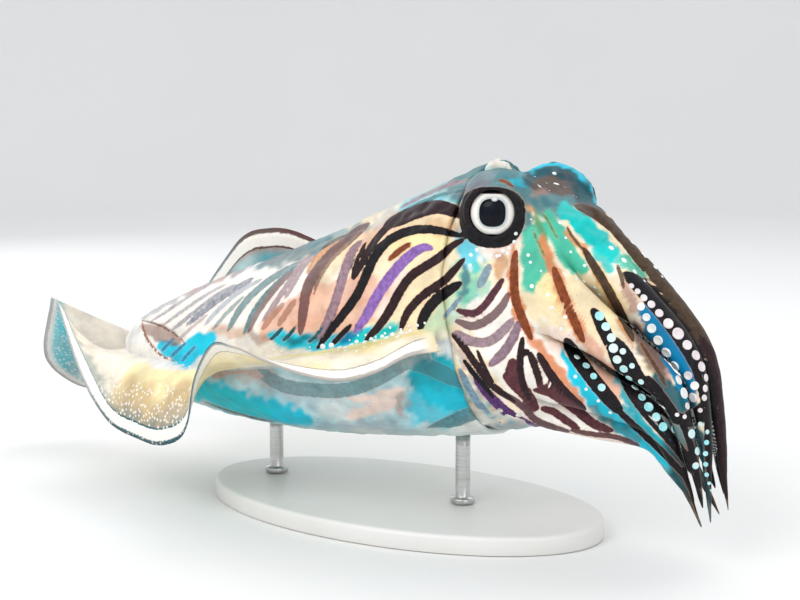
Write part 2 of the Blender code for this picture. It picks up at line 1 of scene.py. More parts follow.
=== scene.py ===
"""Common cuttlefish, Sepia officinalis: a life-size still model on a plain display stand.

Run as a script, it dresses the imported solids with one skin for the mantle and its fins, one skin
for the head and the eight arms, suckers, eyes with their lids, one brow papilla, white spots, the
funnel and a finished stand. Frame: X forward to the head, Y to the animal's left, Z up, in metres.
"""
import math

import bmesh
import bpy
import numpy as np
from bpy.props import FloatProperty, FloatVectorProperty, IntProperty, PointerProperty
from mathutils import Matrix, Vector
from mathutils.bvhtree import BVHTree


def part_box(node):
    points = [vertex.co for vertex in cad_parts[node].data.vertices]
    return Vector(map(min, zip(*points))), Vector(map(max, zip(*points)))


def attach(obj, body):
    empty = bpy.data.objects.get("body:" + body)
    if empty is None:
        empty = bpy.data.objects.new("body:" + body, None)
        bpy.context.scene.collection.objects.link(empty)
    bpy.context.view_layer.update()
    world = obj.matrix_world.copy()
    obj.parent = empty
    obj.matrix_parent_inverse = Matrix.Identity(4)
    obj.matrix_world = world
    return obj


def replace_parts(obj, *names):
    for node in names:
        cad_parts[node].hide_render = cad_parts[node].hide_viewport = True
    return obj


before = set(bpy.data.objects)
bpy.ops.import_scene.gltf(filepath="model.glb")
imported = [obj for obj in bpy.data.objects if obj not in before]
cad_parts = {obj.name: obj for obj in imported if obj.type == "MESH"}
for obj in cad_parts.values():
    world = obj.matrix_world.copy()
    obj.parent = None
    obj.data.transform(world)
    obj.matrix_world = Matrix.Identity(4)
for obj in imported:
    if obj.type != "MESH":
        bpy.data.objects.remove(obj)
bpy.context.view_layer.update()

bl_info = {
    "name": "Common cuttlefish model",
    "version": (1, 0, 0),
    "blender": (4, 5, 0),
    "location": "3D View > Sidebar > Cuttlefish",
    "description": "Builds the skin, eyes, suckers, markings, stand and stage of a cuttlefish model",
    "category": "Object",
}

GAP = 0.0003

# Mantle: distances along its axis from the tail tip, and sizes of its section
SECTION_POWER = 2.2
TAIL_X = -0.193
TAIL_Z = 0.088
PITCH = math.radians(10.3)
MANTLE_LENGTH = 0.254
DORSAL_REACH = 0.014
VENTRAL_SHORTENING = 0.006
MANTLE_HALF_DEPTH = 0.0692
MANTLE_HALF_WIDTH = 0.060
DEPTH_GROWTH = 0.48
WIDEST_SHARE = 0.62
NARROWING = 0.05
AXIS_DROP = 0.012
AXIS_SAG = 0.008
LIP_RADIUS = 0.0015
LIP_RINGS = 8
SOCKET_FLOOR = 0.236
SOCKET_WALL = (0.3, 0.7, 1.0)

# Fins
FIN_ROOT_ANGLE = math.radians(95.0)
FIN_ROOT_THICKNESS = 0.0042
FIN_EDGE_THICKNESS = 0.0011
FIN_THINNING = 0.7
FIN_OUTWARD_RUN = 0.45
FIN_FIRST = 0.007
FIN_LAST = 0.252
WIDEST_ROOT = 0.3
FIN_CROWDING = 0.85
FIN_MERGE = 0.10
FIN_ROUNDED_FROM = 0.96
FIN_END_RUN = 0.0012
FIN_END_LEAST = 0.02
FIN_STEP = 0.0004
FIN_STEP_ACROSS = 0.01

# Edge knots: distance of the root from the tail tip, then the edge's place
RIGHT_FIN_EDGE = (
    (0.252, 0.0640, -0.0620, 0.1050),
    (0.238, 0.0480, -0.0690, 0.1015),
    (0.224, 0.0350, -0.0770, 0.0936),
    (0.208, 0.0190, -0.0840, 0.0888),
    (0.188, -0.0010, -0.0885, 0.0903),
    (0.166, -0.0240, -0.0920, 0.0965),
    (0.148, -0.0420, -0.0935, 0.1025),
    (0.132, -0.0570, -0.0940, 0.1010),
    (0.120, -0.0680, -0.0935, 0.0830),
    (0.106, -0.0780, -0.0880, 0.0550),
    (0.086, -0.0990, -0.0820, 0.0412),
    (0.064, -0.1290, -0.0730, 0.0398),
    (0.044, -0.1590, -0.0640, 0.0455),
    (0.026, -0.1900, -0.0520, 0.0672),
    (0.007, -0.2293, -0.0300, 0.1064),
)
LEFT_FIN_EDGE = (
    (0.252, 0.0620, 0.0630, 0.1060),
    (0.210, 0.0200, 0.0780, 0.1060),
    (0.160, -0.0300, 0.0860, 0.1080),
    (0.115, -0.0760, 0.0850, 0.1180),
    (0.085, -0.1020, 0.0720, 0.1380),
    (0.062, -0.1320, 0.0600, 0.1465),
    (0.048, -0.1600, 0.0640, 0.1380),
    (0.038, -0.1850, 0.0700, 0.1150),
    (0.028, -0.2200, 0.0660, 0.0720),
    (0.020, -0.2620, 0.0420, 0.0330),
    (0.013, -0.2850, 0.0140, 0.0560),
    (0.007, -0.2620, -0.0020, 0.1010),
)

# Head and crown on one path: distance, x, z, tilt, half depth, half width, power of the section
HEAD_SPAN = 0.034
CROWN_SPAN = 0.130
HEAD_PATH = (
    (0.0000, 0.0690, 0.1220, -2.0, 0.0660, 0.0530, 2.2),
    (0.0119, 0.0800, 0.1210, 2.0, 0.0640, 0.0490, 2.4),
    (0.0238, 0.0905, 0.1190, 7.0, 0.0615, 0.0480, 2.4),
    (0.0340, 0.1000, 0.1165, 11.0, 0.0585, 0.0470, 2.2),
    (0.0742, 0.1365, 0.0975, 18.0, 0.0437, 0.0400, 2.0),
    (0.1047, 0.1625, 0.0800, 28.0, 0.0290, 0.0290, 2.0),
)
# Eye domes: middle, radius and how softly they join; then the search for the joined surface
DOME = (0.0772, 0.0310, 0.1715)
DOME_RADIUS = 0.0218
DOME_BLEND = 0.010
RAY_REACH = 0.12
HALVINGS = 26

# Eyes
EYE_RADIUS = 0.0165
EYE_FORWARD = math.radians(17.0)
EYE_RAISE = math.radians(3.0)
EYE_OFFSET = 0.0042
HOLLOW_ANGLE = (38.0, -5.0)
HOLLOW_REACH = 0.030
HOLLOW_RADIUS = 0.010
SIDES = ((1.0, "left"), (-1.0, "right"))

# Funnel, in a groove under the head
FUNNEL_X_BACK = 0.052
FUNNEL_X_FRONT = 0.084
FUNNEL_Z = 0.0668
FUNNEL_RADIUS_BACK = 0.0088
FUNNEL_RADIUS_FRONT = 0.0064
FUNNEL_BORE = 0.0042
FUNNEL_BORE_DEPTH = 0.010
FUNNEL_COLUMNS = 72
FUNNEL_SWELL = 0.0003
FUNNEL_WAVES = 9.0
FUNNEL_NARROWING = 0.25
FUNNEL_LIP = ((0.985, -0.0001), (1.0, -0.0008), (0.998, -0.0016), (0.985, -0.0022))
GROOVE_ROOM = 0.0006
GROOVE_SOFTNESS = 0.0014
GROOVE_BACK = (0.047, 0.004)
GROOVE_FRONT = (0.100, -0.006)
FUNNEL_FOLDS = 9.0
FUNNEL_FOLD = 0.018

# Arm bundle: share of its length, x, z, tilt, half depth, half width, side shift
CROWN_KNOTS = (
    (0.000, 0.1000, 0.1165, 11.0, 0.0585, 0.0470, 0.0000),
    (0.309, 0.1365, 0.0975, 18.0, 0.0437, 0.0400, 0.0000),
    (0.544, 0.1625, 0.0800, 28.0, 0.0290, 0.0290, 0.0010),
    (0.729, 0.1715, 0.0570, 42.0, 0.0170, 0.0190, 0.0040),
    (0.833, 0.1755, 0.0437, 58.0, 0.0100, 0.0110, 0.0075),
    (1.000, 0.1820, 0.0225, 72.0, 0.0036, 0.0052, 0.0110),
)
ARM_ANGLES = (22.5, 67.5, 112.5, 157.5)
ARM_REACH = (0.99, 0.93, 0.90, 1.00)
ARM_ROLL_LEFT = (80.0, -50.0, -30.0, 10.0)
ARM_ROLL_RIGHT = (100.0, 115.0, 60.0, -10.0)
WEDGE_END = 0.36
ROLL_START = 0.08
ROLL_RUN = 0.40
WEDGE_INNER = 0.30
WEDGE_POWER = 4.0
WEDGE_CLEARANCE = 0.0005
TAPER_POWER = 7
TANGENT_SHARE = 0.252
RADIAL_SHARE = 0.245
ARM_PART = 0.12
ARM_CROWDING = 1.2
ARM_SETTLING = 0.06
TIP_END = 0.997

# Neck: rings inside the mantle's socket, their place on the head's path, and rings across the seam
NECK_RINGS = 5
NECK_PATH = -0.004
BRIDGE_RINGS = 6

# Mouth: its number after those of the arms, tilt, then share of the bounding ring and depth
MOUTH = 8
MOUTH_TILT = math.radians(11.0)
MOUTH_RINGS = ((0.75, 0.004), (0.5, 0.007), (0.25, 0.006))
MOUTH_DEPTH = 0.004


def smooth_step(x):
    """Ease from 0 to 1 with level ends: 3x^2 - 2x^3 on the clipped x."""
    x = np.clip(x, 0.0, 1.0)
    return x * x * (3.0 - 2.0 * x)


def ramp(value, start, run):
    """Eased rise from 0 at start to 1 at start plus run; a negative run rises towards smaller values."""
    return smooth_step((value - start) / run)


def through(knots, x):
    """Values of a smooth curve through the knots' rows, by cubic pieces with mean slopes."""
    table = np.asarray(knots, float)
    if table[0, 0] > table[-1, 0]:
        table = table[::-1]
    place, value = table[:, 0], table[:, 1:]
    slope = np.gradient(value, place, axis=0)
    x = np.clip(np.asarray(x, float), place[0], place[-1])
    index = np.clip(np.searchsorted(place, x, side="right") - 1, 0, len(place) - 2)
    width = place[index + 1] - place[index]
    t = ((x - place[index]) / width)[..., None]
    width = width[..., None]
    square, cube = t ** 2, t ** 3
    start = (2 * cube - 3 * square + 1) * value[index] + (cube - 2 * square + t) * width * slope[index]
    end = (3 * square - 2 * cube) * value[index + 1] + (cube - square) * width * slope[index + 1]
    return start + end


def signed_power(value, power):
    """The size of a value raised to a power, with the value's own sign."""
    return np.sign(value) * np.abs(value) ** power


def unit(vectors):
    """Each vector divided by its length."""
    return vectors / np.maximum(np.linalg.norm(vectors, axis=-1, keepdims=True), 1e-12)


def wobble(points, size, seed, waves=14):
    """Smooth noise about -1 to 1: seeded sine waves of lengths near the size, added and scaled."""
    chance = np.random.default_rng(seed)
    way = unit(chance.normal(size=(waves, points.shape[-1])))
    pace = 2.0 * math.pi / (size * chance.uniform(0.6, 1.6, waves))
    start = chance.uniform(0.0, 2.0 * math.pi, waves)
    return np.sin(points @ (way * pace[:, None]).T + start).sum(-1) * math.sqrt(2.0 / waves)


def mantle_width(s):
    """Half width of the mantle: a quarter ellipse that grows to the widest share, then narrows a little."""
    share = np.maximum(s, 1e-6) / MANTLE_LENGTH
    rise = np.clip(share / WIDEST_SHARE, 0.0, 1.0)
    width = MANTLE_HALF_WIDTH * np.sqrt(1.0 - (1.0 - rise) ** 2)
    return width * (1.0 - NARROWING * smooth_step((share - WIDEST_SHARE) / (1.0 - WIDEST_SHARE)))


def mantle_point(s, angle, inset=0.0):
    """A point of the mantle's section, a superellipse, at distance s from the tail.

    The angle turns from the back to the left; depth grows as a power of s, width as mantle_width.
    """
    s = np.maximum(np.asarray(s, float), 1e-6)
    share = s / MANTLE_LENGTH
    depth = MANTLE_HALF_DEPTH * share ** DEPTH_GROWTH - inset
    width = mantle_width(s) - inset
    centre = -AXIS_DROP - AXIS_SAG * np.sin(np.pi * np.minimum(share, 1.1))
    across = centre + depth * signed_power(np.cos(angle), 2.0 / SECTION_POWER)
    side = width * signed_power(np.sin(angle), 2.0 / SECTION_POWER)
    x = TAIL_X + s * math.cos(PITCH) - across * math.sin(PITCH)
    z = TAIL_Z + s * math.sin(PITCH) + across * math.cos(PITCH)
    return np.stack(np.broadcast_arrays(x, side, z), -1)


def rim_distance(angle):
    """How far the mantle's front edge lies from the tail: further on the back, less below."""
    up = np.maximum(np.cos(angle), 0.0)
    down = np.maximum(-np.cos(angle), 0.0)
    return MANTLE_LENGTH + DORSAL_REACH * up ** 2 - VENTRAL_SHORTENING * down ** 2


def fin_point(side, s, v):
    """Middle surface of a fin: a quadratic curve from the root, out along the normal, to the edge."""
    knots = LEFT_FIN_EDGE if side > 0 else RIGHT_FIN_EDGE
    edge = through(knots, s)
    root = mantle_point(s, side * FIN_ROOT_ANGLE)
    ahead = mantle_point(s + 0.001, side * FIN_ROOT_ANGLE) - mantle_point(s - 0.001, side * FIN_ROOT_ANGLE)
    above = mantle_point(s, side * (FIN_ROOT_ANGLE - 0.02)) - mantle_point(s, side * (FIN_ROOT_ANGLE + 0.02))
    outward = unit(np.cross(ahead, above) * side)
    outward = np.where((outward[..., 1:2] * side) < 0, -outward, outward)
    span = np.linalg.norm(edge - root, axis=-1, keepdims=True)
    handle = root + outward * span * FIN_OUTWARD_RUN
    t = np.asarray(v, float)[..., None]
    return root * (1.0 - t) ** 2 + handle * 2.0 * t * (1.0 - t) + edge * t ** 2


def crown_frame(v):
    """Centre, dorsal direction and sizes of the arm bundle at share v of its length."""
    x, z, tilt, depth, width, shift = np.moveaxis(through(CROWN_KNOTS, v), -1, 0)
    tilt = np.radians(tilt)
    centre = np.stack([x, np.zeros_like(x), z], -1)
    up = np.stack([np.sin(tilt), np.zeros_like(x), np.cos(tilt)], -1)
    return centre, up, depth, width, shift


def arm_loop(side, number, v, turn):
    """Points of one arm's section at share v of its own length; turn 0 faces out, 180 degrees in.

    Near the head the section is a wedge of the bundle; further on it is a rounded section of its
    own, rolled about the arm's middle line.
    """
    v = np.asarray(v, float)
    centre, up, depth, width, shift = crown_frame(v * ARM_REACH[number])
    lateral = np.array([0.0, 1.0, 0.0])
    base = side * math.radians(ARM_ANGLES[number])
    rolls = ARM_ROLL_LEFT if side > 0 else ARM_ROLL_RIGHT
    roll = math.radians(rolls[number]) * smooth_step((v - ROLL_START) / ROLL_RUN)
    spread = np.sqrt(depth * width)
    taper = np.sqrt(np.clip(1.0 - v ** TAPER_POWER, 0.0, 1.0))
    pace = np.hypot(depth * math.sin(base), width * math.cos(base))
    tangent = TANGENT_SHARE * pace * taper
    radial = RADIAL_SHARE * spread * taper
    inner = RADIAL_SHARE * spread
    middle = centre + ((depth - inner) * math.cos(base))[..., None] * up
    middle = middle + ((width - inner) * math.sin(base) + side * shift)[..., None] * lateral
    around = turn + roll
    outward = math.cos(base) * up + math.sin(base) * lateral
    sideways = -math.sin(base) * up + math.cos(base) * lateral
    free = (radial * np.cos(around))[..., None] * outward + (tangent * np.sin(around))[..., None] * sideways
    free = middle + free
    out = signed_power(np.cos(around), 2.0 / WEDGE_POWER)
    along = signed_power(np.sin(around), 2.0 / WEDGE_POWER)
    level = (1.0 + WEDGE_INNER) / 2.0 + out * (1.0 - WEDGE_INNER) / 2.0
    half = math.pi / 8.0 - 0.5 * GAP / (level * spread) - WEDGE_CLEARANCE
    place = base + along * half
    wedge = centre + (level * depth * np.cos(place))[..., None] * up
    wedge = wedge + (level * width * np.sin(place))[..., None] * lateral
    share = smooth_step(v / WEDGE_END)[..., None]
    return wedge * (1.0 - share) + free * share


def dome_centre(side):
    """Middle of one eye dome."""
    return np.array([DOME[0], side * DOME[1], DOME[2]])


def eye_frame(side):
    """The eye's axis, its upward direction and the direction across it towards the front."""
    level = math.cos(EYE_RAISE)
    axis = np.array([
        math.sin(EYE_FORWARD) * level, side * math.cos(EYE_FORWARD) * level, math.sin(EYE_RAISE)])
    up = unit(np.array([0.0, 0.0, 1.0]) - axis * axis[2])
    ahead = np.cross(up, axis) * side
    return axis, up, ahead


def smooth_union(first, second):
    """The smaller of two distances, rounded where they are nearly equal."""
    share = np.clip(0.5 + 0.5 * (second - first) / DOME_BLEND, 0.0, 1.0)
    return second + (first - second) * share - DOME_BLEND * share * (1.0 - share)


def head_outer(path, angle):
    """Outer surface of the head at a distance along its path and an angle from the back.

    A superellipse section round the path, joined smoothly to the two eye domes: the radius is
    found by halving between inside and outside.
    """
    x, z, tilt, depth, width, power = np.moveaxis(through(HEAD_PATH, path), -1, 0)
    tilt = np.radians(tilt)
    nothing = np.zeros_like(x)
    up = np.stack([np.sin(tilt), nothing, np.cos(tilt)], -1)
    centre = np.stack([x, nothing, z], -1)
    base = (depth * signed_power(np.cos(angle), 2.0 / power))[..., None] * up
    base[..., 1] += width * signed_power(np.sin(angle), 2.0 / power)
    reach = np.linalg.norm(base, axis=-1)
    way = base / reach[..., None]
    low, high = np.zeros_like(reach), np.full_like(reach, RAY_REACH)
    for _ in range(HALVINGS):
        middle = 0.5 * (low + high)
        point = centre + way * middle[..., None]
        distance = middle - reach
        for side in (-1.0, 1.0):
            dome = np.linalg.norm(point - dome_centre(side), axis=-1) - DOME_RADIUS
            distance = smooth_union(distance, dome)
        low = np.where(distance < 0.0, middle, low)
        high = np.where(distance < 0.0, high, middle)
    return centre + way * low[..., None]


def head_point(path, angle):
    """Head surface out to where the arms part: head_outer eased into the arms' own outer faces.

    Past the head the point slides from the smooth surface to the outer half of the arm's section
    that holds this angle, so that the grooves between the arms deepen from nothing.
    """
    path = np.asarray(path, float)
    point = head_outer(np.minimum(path, HEAD_PATH[-1][0]), angle)
    share = (path - HEAD_SPAN) / CROWN_SPAN
    ease = smooth_step(share / ARM_PART)[..., None]
    return point * (1.0 - ease) + arm_outer(share, angle) * ease


def arm_outer(share, angle):
    """Outer half of the arms' sections as one ring: each arm covers an eighth of the turn.

    The edge that two arms share lies midway between them.
    """
    share = np.clip(share, 0.0, 1.0)
    eighth = np.pi / 4.0
    index = np.clip(np.floor(angle / eighth), 0, 7).astype(int)
    turn = ((angle - index * eighth) / eighth - 0.5) * np.pi
    own = arm_at(index, share, turn)
    before = arm_at((index - 1) % 8, share, np.full_like(turn, 0.5 * np.pi))
    after = arm_at((index + 1) % 8, share, np.full_like(turn, -0.5 * np.pi))
    low_edge = arm_at(index, share, np.full_like(turn, -0.5 * np.pi))
    high_edge = arm_at(index, share, np.full_like(turn, 0.5 * np.pi))
    fall = ((turn / (0.5 * np.pi)) ** 8)[..., None]
    pull = np.where((turn < 0.0)[..., None], before - low_edge, after - high_edge)
    return own + 0.5 * pull * fall


def arm_at(index, share, turn):
    """arm_loop for arrays of arm indices counted round from the back to the left."""
    result = np.zeros(turn.shape + (3,))
    for arm in range(8):
        side, number = arm_of(arm)
        chosen = index == arm
        if chosen.any():
            result[chosen] = arm_loop(side, number, np.broadcast_to(share, turn.shape)[chosen], turn[chosen])
    return result


def arm_of(arm):
    """Side and number of the arm with this place round the crown, counted from the back to the left."""
    return (1.0, arm) if arm < 4 else (-1.0, 7 - arm)


def full_turn(count):
    """Directions spread evenly round a full turn, in radians."""
    return np.arange(count) * 2.0 * np.pi / count


def sheet_faces(index, closed=False):
    """Quads between the rows and columns of an array of vertex numbers."""
    if closed:
        index = np.concatenate([index, index[:, :1]], axis=1)
    return np.stack([index[:-1, :-1], index[:-1, 1:], index[1:, 1:], index[1:, :-1]], -1).reshape(-1, 4)


def fan_faces(ring, pole):
    """Triangles from a closed ring of vertex numbers to one vertex."""
    return np.stack([ring, np.roll(ring, -1), np.full_like(ring, pole)], -1)


def closed_form(rings, first, last):
    """Vertices, quads and triangles of rings of points, closed by one pole beyond each end."""
    index = np.arange(rings[..., 0].size).reshape(rings.shape[:2])
    triangles = [fan_faces(index[0], index.size), fan_faces(index[-1], index.size + 1)]
    points = np.concatenate([rings.reshape(-1, 3), [first, last]])
    return points, sheet_faces(index, closed=True), np.concatenate(triangles)


def oval_rings(rows, columns, centre=(0.0, 0.0)):
    """Rings of points from rows of half length, half width and height about an upright axis."""
    turn = full_turn(columns)
    return np.array([
        np.column_stack([centre[0] + a * np.cos(turn), centre[1] + b * np.sin(turn), np.full(columns, z)])
        for a, b, z in rows])


def opaque(colour):
    """Colours for each vertex with full opacity."""
    return np.column_stack([colour, np.ones(len(colour))])


class Gathering:
    """Parts of one closed surface, gathered with a place for every vertex."""

    def __init__(self):
        self.points, self.quads, self.triangles, self.places, self.count = [], [], [], [], 0

    def add(self, points, place):
        """Adds a grid of points with their places and returns their vertex numbers."""
        index = self.count + np.arange(points[..., 0].size).reshape(points.shape[:-1])
        self.points.append(points.reshape(-1, 3))
        width = np.shape(place)[-1]
        self.places.append(np.broadcast_to(place, (*index.shape, width)).reshape(-1, width))
        self.count += index.size
        return index

    def cap(self, ring, point, place):
        """Closes a ring of vertex numbers by triangles to one more point."""
        pole = self.add(point[None], place)
        self.triangles.append(fan_faces(ring, pole[0]))

    def arrays(self):
        """All points, quads, triangles and places."""
        return [np.concatenate(each) for each in (self.points, self.quads, self.triangles, self.places)]


def set_fields(piece, fields):
    """Puts arrays on a piece's vertices: one number each, three for a vector or four for a colour."""
    for field, values in fields.items():
        values = np.asarray(values, np.float32)
        form, key = {1: ("FLOAT", "value"), 3: ("FLOAT_VECTOR", "vector"), 4: ("FLOAT_COLOR", "color")}[
            1 if values.ndim == 1 else values.shape[1]]
        piece.data.attributes.new(field, form, "POINT").data.foreach_set(key, values.ravel())


def vertex_arrays(piece):
    """A piece's vertices and their normals."""
    mesh = piece.data
    points = np.zeros(len(mesh.vertices) * 3, np.float32)
    normals = np.zeros_like(points)
    mesh.vertices.foreach_get("co", points)
    mesh.vertex_normals.foreach_get("vector", normals)
    return points.reshape(-1, 3).astype(float), normals.reshape(-1, 3).astype(float)


def make_mesh(name, points, quads, triangles, finish):
    """A smooth mesh object from arrays, its faces turned outwards."""
    quads = np.asarray(quads, np.int32).reshape(-1, 4)
    triangles = np.asarray(triangles, np.int32).reshape(-1, 3)
    mesh = bpy.data.meshes.new(name)
    mesh.vertices.add(len(points))
    mesh.vertices.foreach_set("co", np.asarray(points, np.float32).ravel())
    mesh.loops.add(quads.size + triangles.size)
    mesh.loops.foreach_set("vertex_index", np.concatenate([quads.ravel(), triangles.ravel()]))
    mesh.polygons.add(len(quads) + len(triangles))
    starts = np.concatenate([np.arange(len(quads)) * 4, quads.size + np.arange(len(triangles)) * 3])
    mesh.polygons.foreach_set("loop_start", starts.astype(np.int32))
    mesh.update(calc_edges=True)
    work = bmesh.new()
    work.from_mesh(mesh)
    bmesh.ops.recalc_face_normals(work, faces=work.faces[:])
    work.to_mesh(mesh)
    work.free()
    mesh.shade_smooth()
    mesh.materials.append(finish)
    made = bpy.data.objects.new(name, mesh)
    bpy.context.scene.collection.objects.link(made)
    return made


def make_piece(name, points, quads, triangles, finish, slot="skin"):
    """A mesh object that rides on the model's one body; its slot is not used."""
    made = make_mesh(name, points, quads, triangles, finish)
    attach(made, "root")
    return made


def mantle_grid(rows, dorsal, fin, ventral):
    """Vertices and faces of the mantle with both fins as one closed surface.

    Each ring runs over the back from the right fin's root to the left one's, out and back over the
    left fin, under the belly and over the right fin. Rings sit at the rim's distance times the
    square of the row's share, so they crowd towards the tail. Returns the points, quads, triangles
    and for each vertex its distance from the tail, signed angle, place across the fin (0 on the
    mantle), and the face of the fin (1 above, -1 below).
    """
    share = (np.arange(1, rows + 1) / rows) ** 2
    root_s = rim_distance(FIN_ROOT_ANGLE) * share
    half_root = np.arcsin(np.clip(0.5 * FIN_ROOT_THICKNESS / mantle_width(root_s), 0.0, WIDEST_ROOT))
    low = FIN_ROOT_ANGLE + half_root
    back = np.linspace(-1.0, 1.0, dorsal + 1)[None, :] * (FIN_ROOT_ANGLE - half_root)[:, None]
    belly = low[:, None] + np.linspace(0.0, 1.0, ventral + 1)[None, :] * (2.0 * np.pi - 2.0 * low)[:, None]
    angle = np.concatenate([back, belly], axis=1)
    s = rim_distance(angle) * share[:, None]
    skin = Gathering()
    index = skin.add(mantle_point(s, angle), np.stack([s, angle, 0.0 * s, 0.0 * s], -1))
    skin.quads += [sheet_faces(index[:, :dorsal + 1]), sheet_faces(index[:, dorsal + 1:])]
    inside = np.flatnonzero((root_s >= FIN_FIRST) & (root_s <= FIN_LAST))
    first, last = inside[0], inside[-1]
    left_strip = index[:, [dorsal, dorsal + 1]]
    right_strip = index[:, [-1, 0]]
    for strip in (left_strip, right_strip):
        skin.quads += [sheet_faces(strip[:first + 1]), sheet_faces(strip[last:])]
    v = (np.arange(1, fin + 1) / fin) ** FIN_CROWDING
    fin_s, fin_v = np.meshgrid(root_s[first:last + 1], v, indexing="ij")
    for side, strip in ((1.0, left_strip[first:last + 1]), (-1.0, right_strip[first:last + 1, ::-1])):
        upper, lower = fin_faces(side, fin_s, fin_v, skin.points[0][strip])
        place = np.stack([fin_s, 0.0 * fin_s + side * FIN_ROOT_ANGLE, fin_v, 0.0 * fin_s + 1.0], -1)
        upper_index = skin.add(upper, place)
        lower_index = skin.add(lower, (place * [1.0, 1.0, 1.0, -1.0])[:, :-1])
        above = np.concatenate([strip[:, :1], upper_index], axis=1)
        below = np.concatenate([strip[:, 1:], lower_index, upper_index[:, -1:]], axis=1)
        if side > 0:
            skin.quads += [sheet_faces(above), sheet_faces(below[:, ::-1])]
        else:
            skin.quads += [sheet_faces(above[:, ::-1]), sheet_faces(below)]
        for row in (0, -1):
            top, bottom = above[row], below[row]
            skin.quads.append(np.stack([top[:-2], top[1:-1], bottom[1:-1], bottom[:-2]], -1))
            skin.triangles.append(np.array([[top[-2], top[-1], bottom[-2]]]))
    close_mantle(skin, index, angle[-1], s[-1])
    return skin.arrays()


def fin_faces(side, s, v, root):
    """Upper and lower face of a fin: its middle surface lifted by half its thickness to each side.

    The thickness falls from root to edge by a power of v, is rounded off at the edge and at both
    ends, and the faces start from the mantle's own points at the root.
    """
    middle = fin_point(side, s, v)
    along = fin_point(side, s + FIN_STEP, v) - fin_point(side, s - FIN_STEP, v)
    across = fin_point(side, s, v + FIN_STEP_ACROSS) - fin_point(side, s, v - FIN_STEP_ACROSS)
    normal = unit(np.cross(along, across)) * side
    thickness = FIN_ROOT_THICKNESS + (FIN_EDGE_THICKNESS - FIN_ROOT_THICKNESS) * v ** FIN_THINNING
    rounding = np.clip((v - FIN_ROUNDED_FROM) / (1.0 - FIN_ROUNDED_FROM), 0.0, 1.0)
    ends = np.minimum(s - s[0, 0], s[-1, 0] - s) / FIN_END_RUN
    half = 0.5 * thickness * np.sqrt(np.clip(1.0 - rounding ** 2, 0.0, 1.0))
    lift = normal * (half * np.sqrt(np.clip(ends, FIN_END_LEAST, 1.0)))[..., None]
    own = 1.0 - smooth_step(v / FIN_MERGE)[..., None]
    top, low = root[:, :1], root[:, 1:]
    root_middle = 0.5 * (top + low)
    upper = middle + lift + (top - root_middle - lift) * own
    lower = middle - lift + (low - root_middle + lift) * own
    return upper, lower[:, :-1]


def close_mantle(skin, index, around, rim):
    """The tail's tip, the rounded front lip, and the wall and floor of the socket behind the lip."""
    tail = mantle_point(0.0, 0.0)
    tail[1] = 0.0
    skin.cap(index[0], tail, [0.0, 0.0, 0.0, 0.0])
    rings = [mantle_point(rim + LIP_RADIUS * math.sin(turn), around, LIP_RADIUS * (1.0 - math.cos(turn)))
             for turn in np.radians(np.linspace(0.0, 180.0, LIP_RINGS + 1)[1:])]
    rings += [mantle_point(rim + (SOCKET_FLOOR - rim) * share, around, 2.0 * LIP_RADIUS)
              for share in SOCKET_WALL]
    rings = np.array(rings)
    inner = skin.add(rings, np.stack([rim, around, 0.0 * rim, 0.0 * rim], -1))
    skin.quads.append(sheet_faces(np.concatenate([index[-1:], inner]), closed=True))
    skin.cap(inner[-1], rings[-1].mean(axis=0), [SOCKET_FLOOR, 0.0, 0.0, 0.0])


